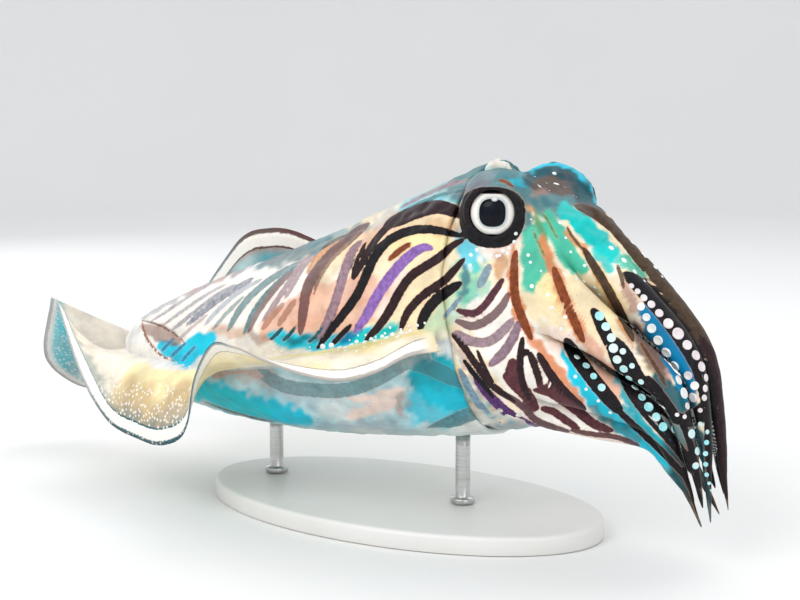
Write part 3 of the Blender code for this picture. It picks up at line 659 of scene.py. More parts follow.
def head_grid(columns_each, inner, head_rows, groove_rows, arm_rows):
    """Vertices and faces of the neck, head and eight arms as one closed surface.

    Outer columns run round the head, the same number for each arm. Past the place where the arms
    part, each arm closes into a tube with inner columns of its own. The inner columns' first arcs
    bound the mouth's disc. Returns points, quads, triangles and for each vertex the distance along
    the head's path, the signed angle, and on the arms the arm's place round the crown plus 1, its
    share and its turn.
    """
    around = 8 * columns_each
    angle = full_turn(around)
    rim = rim_distance(angle)
    neck_inset = 2.0 * LIP_RADIUS + GAP
    neck = np.array([
        mantle_point(SOCKET_FLOOR + GAP + (rim + LIP_RADIUS - SOCKET_FLOOR) * share, angle, neck_inset)
        for share in np.linspace(0.0, 1.0, NECK_RINGS)])
    path = np.concatenate([
        np.linspace(0.0, HEAD_SPAN, head_rows, endpoint=False),
        np.linspace(HEAD_SPAN, HEAD_SPAN + CROWN_SPAN * ARM_PART, groove_rows)])
    grid_path, grid_angle = np.meshgrid(path, angle, indexing="ij")
    outer = head_point(grid_path, grid_angle)
    steps = np.arange(1, BRIDGE_RINGS + 1) / (BRIDGE_RINGS + 1)
    rings = np.concatenate([neck, neck[-1] + (outer[0] - neck[-1]) * steps[:, None, None], outer])
    flat_angle = np.tile(angle, (len(rings), 1))
    flat_path = np.concatenate([np.full((NECK_RINGS + BRIDGE_RINGS, around), NECK_PATH), grid_path])
    signed = np.where(flat_angle > np.pi, flat_angle - 2.0 * np.pi, flat_angle)
    zero = 0.0 * signed
    skin = Gathering()
    index = skin.add(rings, np.stack([flat_path, signed, zero, zero, zero], -1))
    skin.quads.append(sheet_faces(index, closed=True))
    skin.cap(index[0], rings[0].mean(axis=0), [NECK_PATH, 0.0, 0.0, 0.0, 0.0])
    v = ARM_PART + (TIP_END - ARM_PART) * (np.linspace(0.0, 1.0, arm_rows + 1) ** ARM_CROWDING)
    turn = np.concatenate([
        np.arange(columns_each) / columns_each - 0.5, np.arange(inner) / inner + 0.5]) * np.pi
    grid_v, grid_turn = np.meshgrid(v, turn, indexing="ij")
    settle = smooth_step((grid_v - ARM_PART) / ARM_SETTLING)[..., None]
    inward = np.linspace(1.0, 0.0, inner + 1)[1:-1] ** 3
    outer_columns, inner_columns = slice(0, columns_each + 1), slice(columns_each + 1, None)
    arcs = []
    for arm in range(8):
        side, number = arm_of(arm)
        loops = arm_loop(side, number, grid_v, grid_turn)
        shared = index[-1, (arm * columns_each + np.arange(columns_each + 1)) % around]
        drift = np.zeros_like(loops[0])
        drift[outer_columns] = skin.points[0][shared] - loops[0, outer_columns]
        drift[inner_columns] = inward[:, None] * drift[columns_each] + inward[::-1, None] * drift[0]
        loops = loops + drift[None] * (1.0 - settle)
        place = np.stack([HEAD_SPAN + CROWN_SPAN * grid_v, 0.0 * grid_v, np.full(grid_v.shape, arm + 1.0),
                          grid_v, grid_turn], -1)
        first = np.concatenate([shared, skin.add(loops[0, inner_columns], place[0, inner_columns])])
        tube = np.concatenate([first[None], skin.add(loops[1:], place[1:])])
        skin.quads.append(sheet_faces(tube, closed=True))
        skin.cap(tube[-1], loops[-1].mean(axis=0), [HEAD_SPAN + CROWN_SPAN, 0.0, arm + 1.0, 1.0, 0.0])
        arcs.append(first[columns_each:])
    close_mouth(skin, np.concatenate(arcs[::-1]))
    return skin.arrays()


def close_mouth(skin, ring):
    """The hollow disc between the arms, from rings that shrink and sink back from its bounding ring."""
    bound = np.concatenate(skin.points)[ring]
    middle = bound.mean(axis=0)
    back = np.array([-math.cos(MOUTH_TILT), 0.0, math.sin(MOUTH_TILT)])
    place = [HEAD_SPAN, 0.0, MOUTH + 1.0, 0.0, np.pi]
    for share, depth in MOUTH_RINGS:
        following = skin.add(middle + (bound - middle) * share + back * depth, place)
        skin.quads.append(sheet_faces(np.stack([ring, following]), closed=True))
        ring = following
    skin.cap(ring, middle + back * MOUTH_DEPTH, place)


# Viewpoint of the camera and of the painted marks
CAMERA_TURN = math.radians(32.0)
CAMERA_RAISE = math.radians(8.0)
CAMERA_AIM = (0.0, 0.0, 0.118)
CAMERA_DISTANCE = 0.80
CAMERA_LENS = 66.0
CAMERA_SENSOR = 36.0
SHEET = (800.0, 600.0)

# Painting on the sheet: mm per step, waver of the washes in steps, pieces of a stroke's curve
SHEET_STEP = 0.55
SHEET_WAVE = 1.0
LEAST_SOFTNESS = 3.0
WASH_GRAIN = 0.22
STROKE_PIECES = 16
NO_MARK = 20.0
UNDER_MANTLE = 5
HEAD_WAVE = 16.0
MANTLE_WAVE = 18.0
WASH_GRAIN_SIZE = 12.0


# Looks
def linear(code):
    """Scene-linear colour of a six-digit web colour."""
    values = [int(code[place:place + 2], 16) / 255.0 for place in (0, 2, 4)]
    return tuple(v / 12.92 if v <= 0.04045 else ((v + 0.055) / 1.055) ** 2.4 for v in values)


PALETTE = {
    "white": ("White", "f6f2ea"),
    "cream": ("Cream", "f3dfb8"),
    "yellow": ("Straw yellow", "f7e3a0"),
    "peach": ("Peach", "e6b39a"),
    "rose": ("Rose brown", "c09a8c"),
    "beige": ("Beige", "c9ab80"),
    "orange": ("Orange brown", "d98452"),
    "rust": ("Rust", "7e3f22"),
    "black": ("Ink black", "17161a"),
    "plum": ("Plum", "55323c"),
    "purple": ("Purple", "8a66ad"),
    "violet": ("Dark violet", "57346a"),
    "mauve": ("Mauve", "8d7480"),
    "grey": ("Blue grey", "989aa2"),
    "slate": ("Slate teal", "4a7f86"),
    "teal": ("Teal", "12a5b4"),
    "cyan": ("Bright cyan", "1cc3dc"),
    "deep": ("Deep teal", "0b5a66"),
    "sea": ("Sea green", "4fbfa2"),
    "blue": ("Blue", "0a7aa6"),
    "turquoise": ("Turquoise", "0cc4bf"),
    "olive": ("Olive green", "5f8f5c"),
    "tan": ("Tan", "cf9058"),
    "umber": ("Umber", "5c4a44"),
    "bark": ("Bark brown", "4a3a2c"),
    "ebony": ("Ebony brown", "2c1c20"),
    "claret": ("Claret brown", "5a3238"),
    "petrol": ("Petrol", "183a44"),
    "dusk": ("Dusk blue", "7190a6"),
    "rosy": ("Rosy white", "f3ddd2"),
}


def palette(name):
    """A colour of the palette, as set in the panel."""
    return np.array(getattr(bpy.context.scene.cuttlefish_colours, name))


def blend(first, second, share):
    """Colours mixed by a share for each vertex."""
    share = np.clip(share, 0.0, 1.0)[..., None]
    return first * (1.0 - share) + second * share


def paced(knots):
    """Rows of the share of the length and the place, from a flat list of columns and rows."""
    knots = np.reshape(np.asarray(knots, float), (-1, 2))
    pace = np.concatenate([[0.0], np.cumsum(np.linalg.norm(np.diff(knots, axis=0), axis=1))])
    return np.column_stack([pace / pace[-1], knots])


def stroke_field(place, strokes):
    """Signed distance to the nearest stroke's edge and that stroke's colour; a later stroke lies on top.

    A stroke is a smooth curve through its knots, as wide as a lens: half width times
    (1 - (2t - 1)^4)^(1/2) along its length t. Distances are flat ones between the given places.
    """
    nearest = np.full(len(place), 1e3, np.float32)
    colour = np.zeros((len(place), 4), np.float32)
    for name, opacity, half_width, knots in strokes:
        line = through(paced(knots), np.linspace(0.0, 1.0, STROKE_PIECES + 1))
        near = np.flatnonzero(
            ((place > line.min(0) - 4 * half_width) & (place < line.max(0) + 4 * half_width)).all(axis=1))
        spot = place[near][:, None]
        start, step = line[:-1][None], np.diff(line, axis=0)[None]
        t = np.clip(((spot - start) * step).sum(-1) / (step ** 2).sum(-1), 0.0, 1.0)
        gap = np.linalg.norm(spot - start - t[..., None] * step, axis=-1)
        along = (np.arange(STROKE_PIECES) + t) / STROKE_PIECES
        width = half_width * np.sqrt(np.clip(1.0 - (2.0 * along - 1.0) ** 4, 0.0, 1.0))
        distance = (gap - width).min(axis=1)
        closer = (distance < nearest[near]) | (distance < 0.0)
        nearest[near[closer]] = distance[closer]
        colour[near[closer]] = [*palette(name), opacity]
    return np.clip(nearest, -NO_MARK, NO_MARK), colour


# Washes of the head and arms: colour, opacity, half width, softness, then columns and rows of the
# knots on the sheet seen from the viewpoint; the first five lie under the washes of the mantle
HEAD_WASHES = (
    ("white", 0.95, 34, 12, (470, 300, 500, 330, 530, 370, 570, 410, 610, 432, 650, 455)),
    ("cream", 1.0, 26, 12, (530, 300, 560, 300, 600, 310, 625, 300)),
    ("yellow", 0.7, 12, 8, (545, 262, 552, 290, 560, 306)),
    ("yellow", 0.55, 9, 6, (596, 268, 606, 290, 618, 312)),
    ("rosy", 0.8, 14, 8, (552, 330, 566, 352, 584, 374, 604, 396)),
    ("slate", 0.95, 22, 8, (452, 190, 474, 178, 496, 176, 520, 184, 536, 198)),
    ("grey", 0.45, 5, 4, (462, 186, 480, 178, 497, 172)),
    ("mauve", 0.4, 4, 4, (456, 196, 474, 186, 490, 182)),
    ("slate", 0.8, 9, 5, (500, 176, 512, 178, 522, 186)),
    ("cyan", 0.6, 4, 3, (511, 180, 518, 183, 526, 184)),
    ("deep", 1.0, 16, 5, (530, 180, 548, 172, 566, 174, 580, 186, 590, 204, 598, 214)),
    ("black", 0.25, 17, 5, (530, 180, 548, 172, 566, 174, 580, 186, 590, 204, 598, 214)),
    ("umber", 1.0, 10, 5, (534, 188, 546, 186, 558, 188, 568, 200)),
    ("bark", 0.5, 8, 5, (534, 188, 546, 185, 558, 188)),
    ("rose", 0.5, 4, 4, (533, 196, 540, 194, 548, 194)),
    ("slate", 0.9, 10, 5, (536, 206, 550, 208, 562, 208)),
    ("slate", 0.95, 7, 4, (538, 200, 556, 201, 576, 205)),
    ("tan", 0.9, 3, 3, (529, 204, 530, 208, 531, 212)),
    ("petrol", 0.9, 3, 3, (560, 169, 570, 178, 576, 190, 579, 203)),
    ("cyan", 1.0, 2.5, 3, (520, 176, 530, 170, 541, 165, 554, 163, 568, 165, 581, 172, 591, 185, 597, 203)),
    ("slate", 0.95, 6, 5, (527, 212, 527, 226, 526, 240)),
    ("sea", 1.0, 9, 4, (529, 228, 530, 250, 532, 268, 528, 292)),
    ("sea", 0.95, 8, 4, (538, 222, 541, 244, 543, 260, 541, 272)),
    ("olive", 0.8, 4, 3, (534, 210, 541, 228, 547, 246)),
    ("sea", 1.0, 9, 4, (546, 212, 556, 232, 566, 250, 574, 262, 584, 274)),
    ("sea", 0.9, 5, 3, (556, 236, 562, 254, 570, 270)),
    ("turquoise", 1.0, 10, 3, (560, 205, 574, 217, 588, 230, 602, 244, 616, 258)),
    ("turquoise", 0.9, 5, 3, (588, 238, 598, 252, 606, 264, 612, 272)),
    ("turquoise", 0.85, 5, 3, (604, 242, 614, 254, 622, 266)),
    ("sea", 0.95, 6, 4, (624, 256, 634, 268, 644, 278)),
    ("cyan", 0.85, 11, 8, (462, 236, 468, 252, 474, 268)),
    ("sea", 0.75, 9, 6, (464, 272, 470, 290, 462, 300)),
    ("sea", 0.55, 7, 5, (478, 262, 482, 280, 484, 296)),
    ("slate", 0.9, 4, 3, (464, 262, 466, 280, 463, 296)),
    ("rosy", 0.9, 9, 7, (484, 246, 496, 252, 508, 246, 516, 232)),
    ("tan", 0.75, 6, 5, (498, 254, 502, 264, 500, 276)),
    ("orange", 0.9, 5, 3, (514, 244, 512, 270, 515, 300, 524, 324, 536, 344, 550, 362, 566, 382, 586, 406)),
    ("orange", 0.9, 5.5, 3, (540, 232, 548, 256, 556, 276, 565, 300, 577, 326, 592, 356)),
    ("tan", 0.9, 4, 3, (564, 224, 575, 240, 586, 254, 596, 272, 608, 294, 620, 318, 634, 348)),
    ("peach", 0.95, 8, 4, (584, 334, 594, 352, 604, 370, 612, 388, 620, 404)),
    ("rose", 0.9, 5, 3, (622, 284, 630, 298, 636, 312)),
    ("rose", 0.95, 7, 3, (634, 322, 644, 338, 656, 356, 664, 374, 668, 388)),
    ("umber", 0.85, 8, 4, (634, 326, 645, 346, 656, 366, 666, 386)),
    ("teal", 0.95, 5, 2, (614, 366, 624, 390, 636, 412, 650, 432, 664, 448, 680, 468)),
    ("teal", 0.9, 13, 5, (596, 394, 616, 414, 640, 436, 664, 456, 684, 476, 698, 500)),
    ("cyan", 1.0, 7, 3, (562, 350, 572, 371, 585, 389, 600, 406, 616, 422, 636, 439, 656, 454, 674, 468)),
    ("slate", 0.7, 4, 3, (590, 404, 606, 420, 624, 432, 640, 442)),
    ("slate", 0.9, 12, 4, (658, 414, 672, 434, 684, 452, 690, 468)),
    ("deep", 0.95, 8, 4, (690, 424, 698, 440, 702, 456, 704, 470)),
    ("blue", 1.0, 12, 3, (640, 306, 652, 320, 665, 341, 677, 363, 686, 385, 688, 410)),
    ("deep", 0.95, 9, 3, (654, 374, 664, 388, 676, 402, 690, 412, 704, 408)),
    ("umber", 0.9, 6, 3, (700, 474, 708, 490, 718, 508, 728, 522)),
    ("rosy", 0.8, 5, 3, (548, 426, 580, 438, 620, 446, 644, 452)),
    ("mauve", 0.5, 5, 5, (452, 342, 462, 358, 474, 376, 488, 396, 506, 414)),
    ("teal", 0.55, 5, 5, (460, 374, 470, 392, 484, 408, 500, 420)),
)

# Crisp strokes over them, later ones on top: colour, opacity, half width, columns and rows of knots
HEAD_STROKES = (
    ("plum", 1.0, 3.6, (504, 278, 495, 291, 485, 305, 475, 313, 463, 312, 455, 309)),
    ("plum", 0.85, 4.2, (509, 292, 504, 303, 490, 318, 474, 326, 454, 320)),
    ("mauve", 0.9, 4.8, (514, 318, 501, 333, 488, 342, 474, 342, 454, 331)),
    ("mauve", 1.0, 4.8, (519, 321, 513, 338, 502, 354, 489, 366)),
    ("dusk", 0.85, 4.0, (490, 265, 485, 275, 479, 287)),
    ("rust", 1.0, 4.4, (516, 249, 514, 270, 516, 300, 523, 320, 532, 341)),
    ("rust", 1.0, 4.6, (553, 266, 560, 286, 568, 306, 576, 325, 584, 343)),
    ("bark", 1.0, 4.4, (583, 247, 594, 266, 605, 284, 615, 302, 624, 320, 634, 342)),
    ("bark", 0.9, 2.0, (617, 264, 621, 276, 624, 289)),
    ("olive", 0.9, 1.3, (542, 212, 551, 226, 558, 240)),
    ("olive", 0.9, 1.1, (532, 228, 539, 244, 545, 258)),
    ("bark", 0.85, 1.4, (566, 226, 575, 240, 583, 250)),
    ("bark", 0.9, 2.0, (640, 342, 650, 358, 660, 374, 667, 388)),
    ("rust", 0.9, 1.6, (498, 180, 506, 182, 514, 187)),
    ("bark", 1.0, 5.6, (574, 205, 590, 211, 607, 222, 624, 239, 640, 260, 656, 280)),
    ("bark", 1.0, 9.0, (642, 258, 662, 280, 680, 302, 696, 326, 710, 350, 718, 376)),
    ("ebony", 1.0, 8.0, (700, 336, 712, 360, 719, 384, 722, 412, 722, 440, 724, 470, 728, 500)),
    ("black", 1.0, 9.5, (624, 272, 638, 284, 652, 298, 666, 314, 678, 330, 690, 348, 700, 366, 705, 386,
        705, 406)),
    ("black", 1.0, 6.5, (700, 356, 708, 376, 711, 400, 711, 424, 711, 450, 714, 476, 720, 500, 728, 521)),
    ("black", 1.0, 6.0, (656, 402, 668, 412, 682, 420, 696, 420, 708, 410)),
    ("black", 1.0, 3.4, (686, 414, 696, 411, 704, 402)),
    ("black", 1.0, 6.5, (592, 308, 598, 318, 605, 332, 612, 346, 621, 360, 630, 374)),
    ("black", 1.0, 12.0, (612, 340, 624, 362, 636, 384, 648, 402, 658, 414)),
    ("black", 1.0, 4.4, (646, 376, 656, 388, 666, 402, 678, 418)),
    ("black", 1.0, 3.4, (650, 404, 662, 424, 674, 440, 686, 456, 692, 476)),
    ("black", 1.0, 3.4, (678, 416, 686, 432, 692, 450, 696, 470, 700, 490)),
    ("black", 1.0, 2.4, (612, 352, 618, 370, 628, 392, 642, 412, 658, 430, 674, 448, 688, 468, 694, 484)),
    ("black", 1.0, 7.4, (565, 338, 573, 352, 586, 370, 600, 388, 612, 402, 622, 414)),
    ("black", 1.0, 3.4, (608, 398, 622, 414, 640, 431, 656, 446, 670, 460, 682, 473, 692, 486)),
    ("black", 1.0, 5.5, (682, 468, 692, 484, 698, 502, 703, 519)),
    ("dusk", 0.9, 3.4, (459, 368, 468, 386, 479, 404, 490, 417, 502, 426)),
    ("plum", 0.95, 3.4, (500, 392, 514, 400, 524, 408, 536, 420, 552, 427, 570, 432)),
    ("ebony", 1.0, 3.6, (451, 333, 463, 346, 475, 363, 489, 382, 502, 393, 516, 402)),
    ("ebony", 1.0, 2.0, (477, 350, 481, 360, 487, 372, 494, 384)),
    ("violet", 1.0, 4.8, (474, 378, 488, 394, 502, 408, 520, 421, 542, 431)),
    ("black", 1.0, 2.6, (463, 359, 474, 374, 484, 386, 494, 398)),
    ("claret", 1.0, 6.6, (513, 359, 512, 372, 519, 384, 527, 396, 537, 410)),
    ("claret", 1.0, 4.6, (504, 374, 511, 382, 520, 391, 530, 402)),
    ("ebony", 1.0, 3.6, (523, 336, 521, 350, 520, 366, 523, 384, 531, 402)),
    ("ebony", 1.0, 3.0, (518, 357, 526, 352, 534, 358)),
    ("ebony", 1.0, 3.8, (529, 352, 534, 364, 538, 376, 542, 387)),
    ("ebony", 1.0, 4.4, (538, 352, 546, 367, 557, 383, 570, 397, 586, 410)),
    ("claret", 1.0, 4.8, (533, 390, 548, 392, 562, 400, 580, 413, 596, 425, 614, 431)),
    ("claret", 1.0, 3.8, (540, 408, 552, 411, 564, 419, 580, 430)),
    ("claret", 0.95, 2.6, (570, 430, 592, 434, 616, 437, 640, 446)),
)

# Inner faces of the arms, away from both viewpoints
INNER_FACE = ("black", "slate")

# Noise over the skins: sizes in metres
DRIFT = 0.03
HEAD_GRAIN = 0.006
MANTLE_GRAIN = 0.007

# Head and arms: start and run of each change; facing and underside by the normal, tips by the share
HEAD_FACING = (-0.06, 0.16)
INNER_FACING = (0.02, 0.18)
INNER_START = 0.05
UNDERSIDE = (0.55, 0.25)
UNDERSIDE_SHARE = 0.85
UNDERSIDE_UNMARKED = 0.7
ARM_TIPS = (0.70, 0.08)
ARM_TIP_SHARE = 0.9
SEAM_FADE = 1.2

# Black patch round each eye: reach forward, back, up and down in metres, its power and its softness in mm
EYE_PATCH = (0.0175, 0.0158, 0.0125, 0.0172)
PATCH_POWER = 2.4
PATCH_REACH = 15.0
PATCH_MARGIN = 2.0
OUTSIDE_PATCH = 9.0


def arm_roll(side, number, v):
    """How far an arm's section has turned about its middle line at share v, in degrees."""
    rolls = ARM_ROLL_LEFT if side > 0 else ARM_ROLL_RIGHT
    return rolls[number] * smooth_step((v - ROLL_START) / ROLL_RUN)


def crown_place(places):
    """Arm number counted from 0 and its share, for every vertex past the head.

    Before the arms part, the angle round the head gives the arm. The head's own vertices have arm
    -1, the mouth's disc the number after the last arm.
    """
    path, angle, arm, v, _ = places.T
    eighth = np.minimum(np.floor(np.mod(angle, 2.0 * np.pi) / (np.pi / 4.0)), 7)
    joined = (arm == 0) & (path >= HEAD_SPAN)
    number = np.where(joined, eighth, arm - 1).astype(int)
    return number, np.where(joined, (path - HEAD_SPAN) / CROWN_SPAN, v)


def arm_half_width(v, number):
    """Rough half width of an arm in millimetres at share v."""
    _, _, depth, width, _ = crown_frame(v * ARM_REACH[number])
    return RADIAL_SHARE * np.sqrt(depth * width) * 1000.0


def viewpoint(side):
    """Where the sheet is seen from, the way back to it, its right-hand way and its upward way."""
    level = math.cos(CAMERA_RAISE)
    back = np.array([
        math.sin(CAMERA_TURN) * level, side * math.cos(CAMERA_TURN) * level, math.sin(CAMERA_RAISE)])
    right = unit(np.cross(-back, [0.0, 0.0, 1.0])) * -side
    up = unit(np.array([0.0, 0.0, 1.0]) - back * back[2])
    return np.array(CAMERA_AIM) + back * CAMERA_DISTANCE, back, right, up


def sheet_place(points, side):
    """Places on a sheet of 800 by 600 steps, as seen from one front quarter; the left one is mirrored."""
    eye, back, right, up = viewpoint(side)
    focal = SHEET[0] * CAMERA_LENS / CAMERA_SENSOR
    offset = points - eye
    depth = -(offset @ back)
    return np.column_stack([
        0.5 * SHEET[0] + focal * (offset @ right) / depth, 0.5 * SHEET[1] - focal * (offset @ up) / depth])


def wavy_place(place, size, seed):
    """Places on the sheet moved by smooth noise, so that the edges of washes waver."""
    return place + SHEET_WAVE * np.column_stack([wobble(place, size, seed), wobble(place, size, seed + 1)])


def washed_over(colour, place, washes, grain):
    """Colours with soft-edged strokes laid over them in order; the grain breaks their edges."""
    colour = colour.copy()
    for name, opacity, half_width, softness, knots in washes:
        softness = max(softness, LEAST_SOFTNESS)
        distance, _ = stroke_field(place, [(name, opacity, half_width, knots)])
        inside = smooth_step((softness * (0.5 + WASH_GRAIN * grain) - distance) / softness)
        share = inside * opacity * (distance < softness * 2.0)
        colour = blend(colour, palette(name), share)
    return colour


def painted(points, side, grain):
    """Ground colour, distance to the nearest stroke in mm and its colour, painted from one front quarter."""
    place = sheet_place(points, side)
    base = blend(np.broadcast_to(palette("cream"), points.shape), palette("white"), 0.35 + 0.2 * grain)
    washes = HEAD_WASHES[:UNDER_MANTLE] + MANTLE_WASHES + HEAD_WASHES[UNDER_MANTLE:]
    colour = washed_over(base, wavy_place(place, HEAD_WAVE, 71), washes, wobble(place, WASH_GRAIN_SIZE, 76))
    distance, mark = stroke_field(place, MANTLE_STRIPES + HEAD_STROKES)
    return colour, distance * SHEET_STEP, mark


def head_colours(points, normals, places):
    """Washes and strokes of head and arms.

    What faces the right front quarter is painted as seen from there, the rest as seen from the left
    one, mirrored, with a short blend between them. The arms' inner faces are dark, the underside of
    the head pale.
    """
    number, v = crown_place(places)
    on_head, on_crown = number < 0, number >= 0
    grain, drift = wobble(points, HEAD_GRAIN, 12), wobble(points, DRIFT, 11)
    from_right, from_left = (normals @ viewpoint(side)[1] for side in (-1.0, 1.0))
    share = ramp(from_right, *HEAD_FACING)
    right_colour, right_distance, right_mark = painted(points, -1.0, grain)
    left_colour, left_distance, left_mark = painted(points, 1.0, grain)
    colour = blend(left_colour, right_colour, share)
    distance = np.where(share > 0.5, right_distance, left_distance)
    distance = distance + SEAM_FADE * (1.0 - np.abs(2.0 * share - 1.0)) * on_crown
    mark = np.where((share > 0.5)[:, None], right_mark, left_mark)
    inner = ramp(-np.maximum(from_right, from_left), *INNER_FACING) * on_crown * (v > INNER_START)
    first, second = (palette(name) for name in INNER_FACE)
    colour = blend(colour, blend(first, second, 0.4 + 0.4 * drift), inner)
    distance = np.where(inner > 0.5, NO_MARK, distance)
    under = ramp(-normals[:, 2], *UNDERSIDE) * on_head
    belly = blend(palette("white"), palette("grey"), 0.3 + 0.3 * drift)
    belly = blend(belly, palette("teal"), 0.18 + 0.2 * grain)
    colour = blend(colour, belly, under * UNDERSIDE_SHARE)
    distance = np.where(under > UNDERSIDE_UNMARKED, NO_MARK, distance)
    colour[number == MOUTH] = palette("plum")
    distance[number == MOUTH] = NO_MARK
    tip = ramp(v + 0.03 * drift, *ARM_TIPS) * on_crown * (number < MOUTH)
    colour = blend(colour, blend(palette("black"), palette("deep"), 0.25 + 0.3 * drift), tip * ARM_TIP_SHARE)
    patch = (eye_patch(points) - 1.0) * PATCH_REACH
    dark = on_head & (patch < distance) & (patch < PATCH_MARGIN)
    return {
        "ground": opaque(colour), "mark": np.where(dark[:, None], [*palette("black"), 1.0], mark),
        "mark_distance": np.where(dark, patch, distance), "speckle": 0.0 * distance,
    }


# Washes of the mantle on the sheet: colour, opacity, half width, softness, columns and rows of knots
MANTLE_WASHES = (
    ("white", 0.9, 30, 14, (150, 330, 190, 310, 230, 296, 270, 280, 300, 262)),
    ("grey", 0.75, 6, 5, (140, 316, 170, 300, 200, 282, 240, 266, 280, 254, 310, 244)),
    ("slate", 0.8, 9, 6, (252, 266, 276, 258, 304, 249, 334, 240)),
    ("umber", 0.35, 6, 5, (262, 264, 288, 256, 316, 247)),
    ("mauve", 0.6, 6, 4, (180, 290, 204, 280, 228, 271, 252, 263)),
    ("rose", 0.55, 4, 4, (184, 293, 206, 283, 226, 276)),
    ("peach", 0.85, 17, 5, (262, 336, 286, 322, 316, 306, 346, 294, 380, 284)),
    ("peach", 0.8, 13, 5, (288, 334, 320, 326, 352, 316, 380, 304, 396, 284)),
    ("peach", 0.6, 8, 5, (360, 250, 372, 236, 388, 228, 402, 222)),
    ("cream", 1.0, 20, 6, (398, 256, 418, 262, 434, 280, 424, 306, 410, 320)),
    ("yellow", 0.6, 10, 6, (392, 246, 414, 242, 440, 244, 456, 250)),
    ("tan", 0.4, 8, 6, (428, 224, 442, 226, 456, 230)),
    ("rosy", 0.8, 7, 5, (404, 268, 398, 286, 388, 304, 376, 320)),
    ("slate", 0.75, 6, 5, (306, 248, 330, 240, 352, 232, 372, 224)),
    ("grey", 0.55, 6, 5, (372, 226, 390, 218, 408, 208)),
    ("cyan", 0.7, 9, 6, (398, 210, 420, 200, 442, 190, 468, 184)),
    ("cyan", 0.65, 5, 4, (404, 213, 426, 205, 446, 200, 466, 200)),
    ("tan", 0.5, 5, 4, (206, 332, 226, 331, 246, 333)),
    ("rust", 0.45, 6, 4, (252, 336, 260, 338, 268, 340)),
    ("sea", 0.45, 12, 8, (424, 330, 440, 322, 454, 306, 462, 284)),
    ("sea", 0.5, 5, 4, (448, 276, 456, 268, 462, 262)),
    ("cyan", 1.0, 9, 3, (266, 334, 290, 340, 316, 343, 344, 342, 370, 336, 398, 328)),
    ("turquoise", 0.85, 6, 3, (352, 342, 372, 336, 392, 329, 400, 324)),
    ("deep", 0.75, 4, 3, (282, 340, 300, 340, 318, 336, 328, 330)),
    ("blue", 0.9, 5, 2, (340, 342, 350, 336, 362, 328)),
    ("cyan", 1.0, 10, 3, (160, 344, 172, 350, 184, 356, 192, 350, 202, 342, 214, 336)),
    ("rust", 0.65, 7, 4, (143, 326, 154, 331, 168, 337, 180, 342)),
)
BELLY_WASHES = (
    ("cyan", 0.3, 60, 12, (200, 400, 300, 410, 400, 415)),
    ("rose", 0.45, 12, 6, (212, 374, 236, 368, 258, 372, 272, 384)),
    ("grey", 0.35, 9, 8, (262, 372, 284, 392, 318, 400)),
    ("cyan", 1.0, 13, 7, (192, 388, 214, 394, 240, 404, 270, 413, 298, 420, 312, 424)),
    ("turquoise", 0.4, 10, 8, (196, 392, 214, 396, 240, 406, 270, 415)),
    ("white", 0.35, 12, 10, (318, 408, 344, 410, 372, 408, 396, 402)),
    ("teal", 1.0, 26, 9, (424, 374, 444, 382, 462, 388, 480, 396)),
    ("cyan", 0.85, 20, 9, (416, 402, 436, 406, 460, 410)),
    ("grey", 0.5, 8, 5, (312, 430, 340, 430, 370, 429, 404, 430)),
    ("rose", 0.7, 6, 5, (396, 392, 401, 402, 400, 414)),
    ("rosy", 1.0, 5, 3, (350, 399, 366, 398, 386, 394, 404, 389)),
    ("rosy", 1.0, 5.5, 3, (344, 416, 362, 412, 382, 406, 398, 399)),
)
BELLY_STROKES_AND_SHADOW = (
    # Painted shadow: a slate band along the flank just under the fin's edge
    ("slate", 0.65, 7.0, (246, 354, 262, 373, 282, 385, 312, 390, 346, 390, 374, 381, 398, 368, 430, 352)),
    ("deep", 0.45, 8.0, (408, 364, 426, 366, 444, 374, 468, 384)),
    ("slate", 0.85, 7.0, (424, 434, 446, 425, 468, 415, 494, 410)),
    ("rose", 0.45, 5.0, (212, 376, 230, 369, 246, 369, 262, 378)),
    ("umber", 0.85, 0.9, (204, 402, 236, 413, 268, 421, 300, 428, 340, 432)),
)

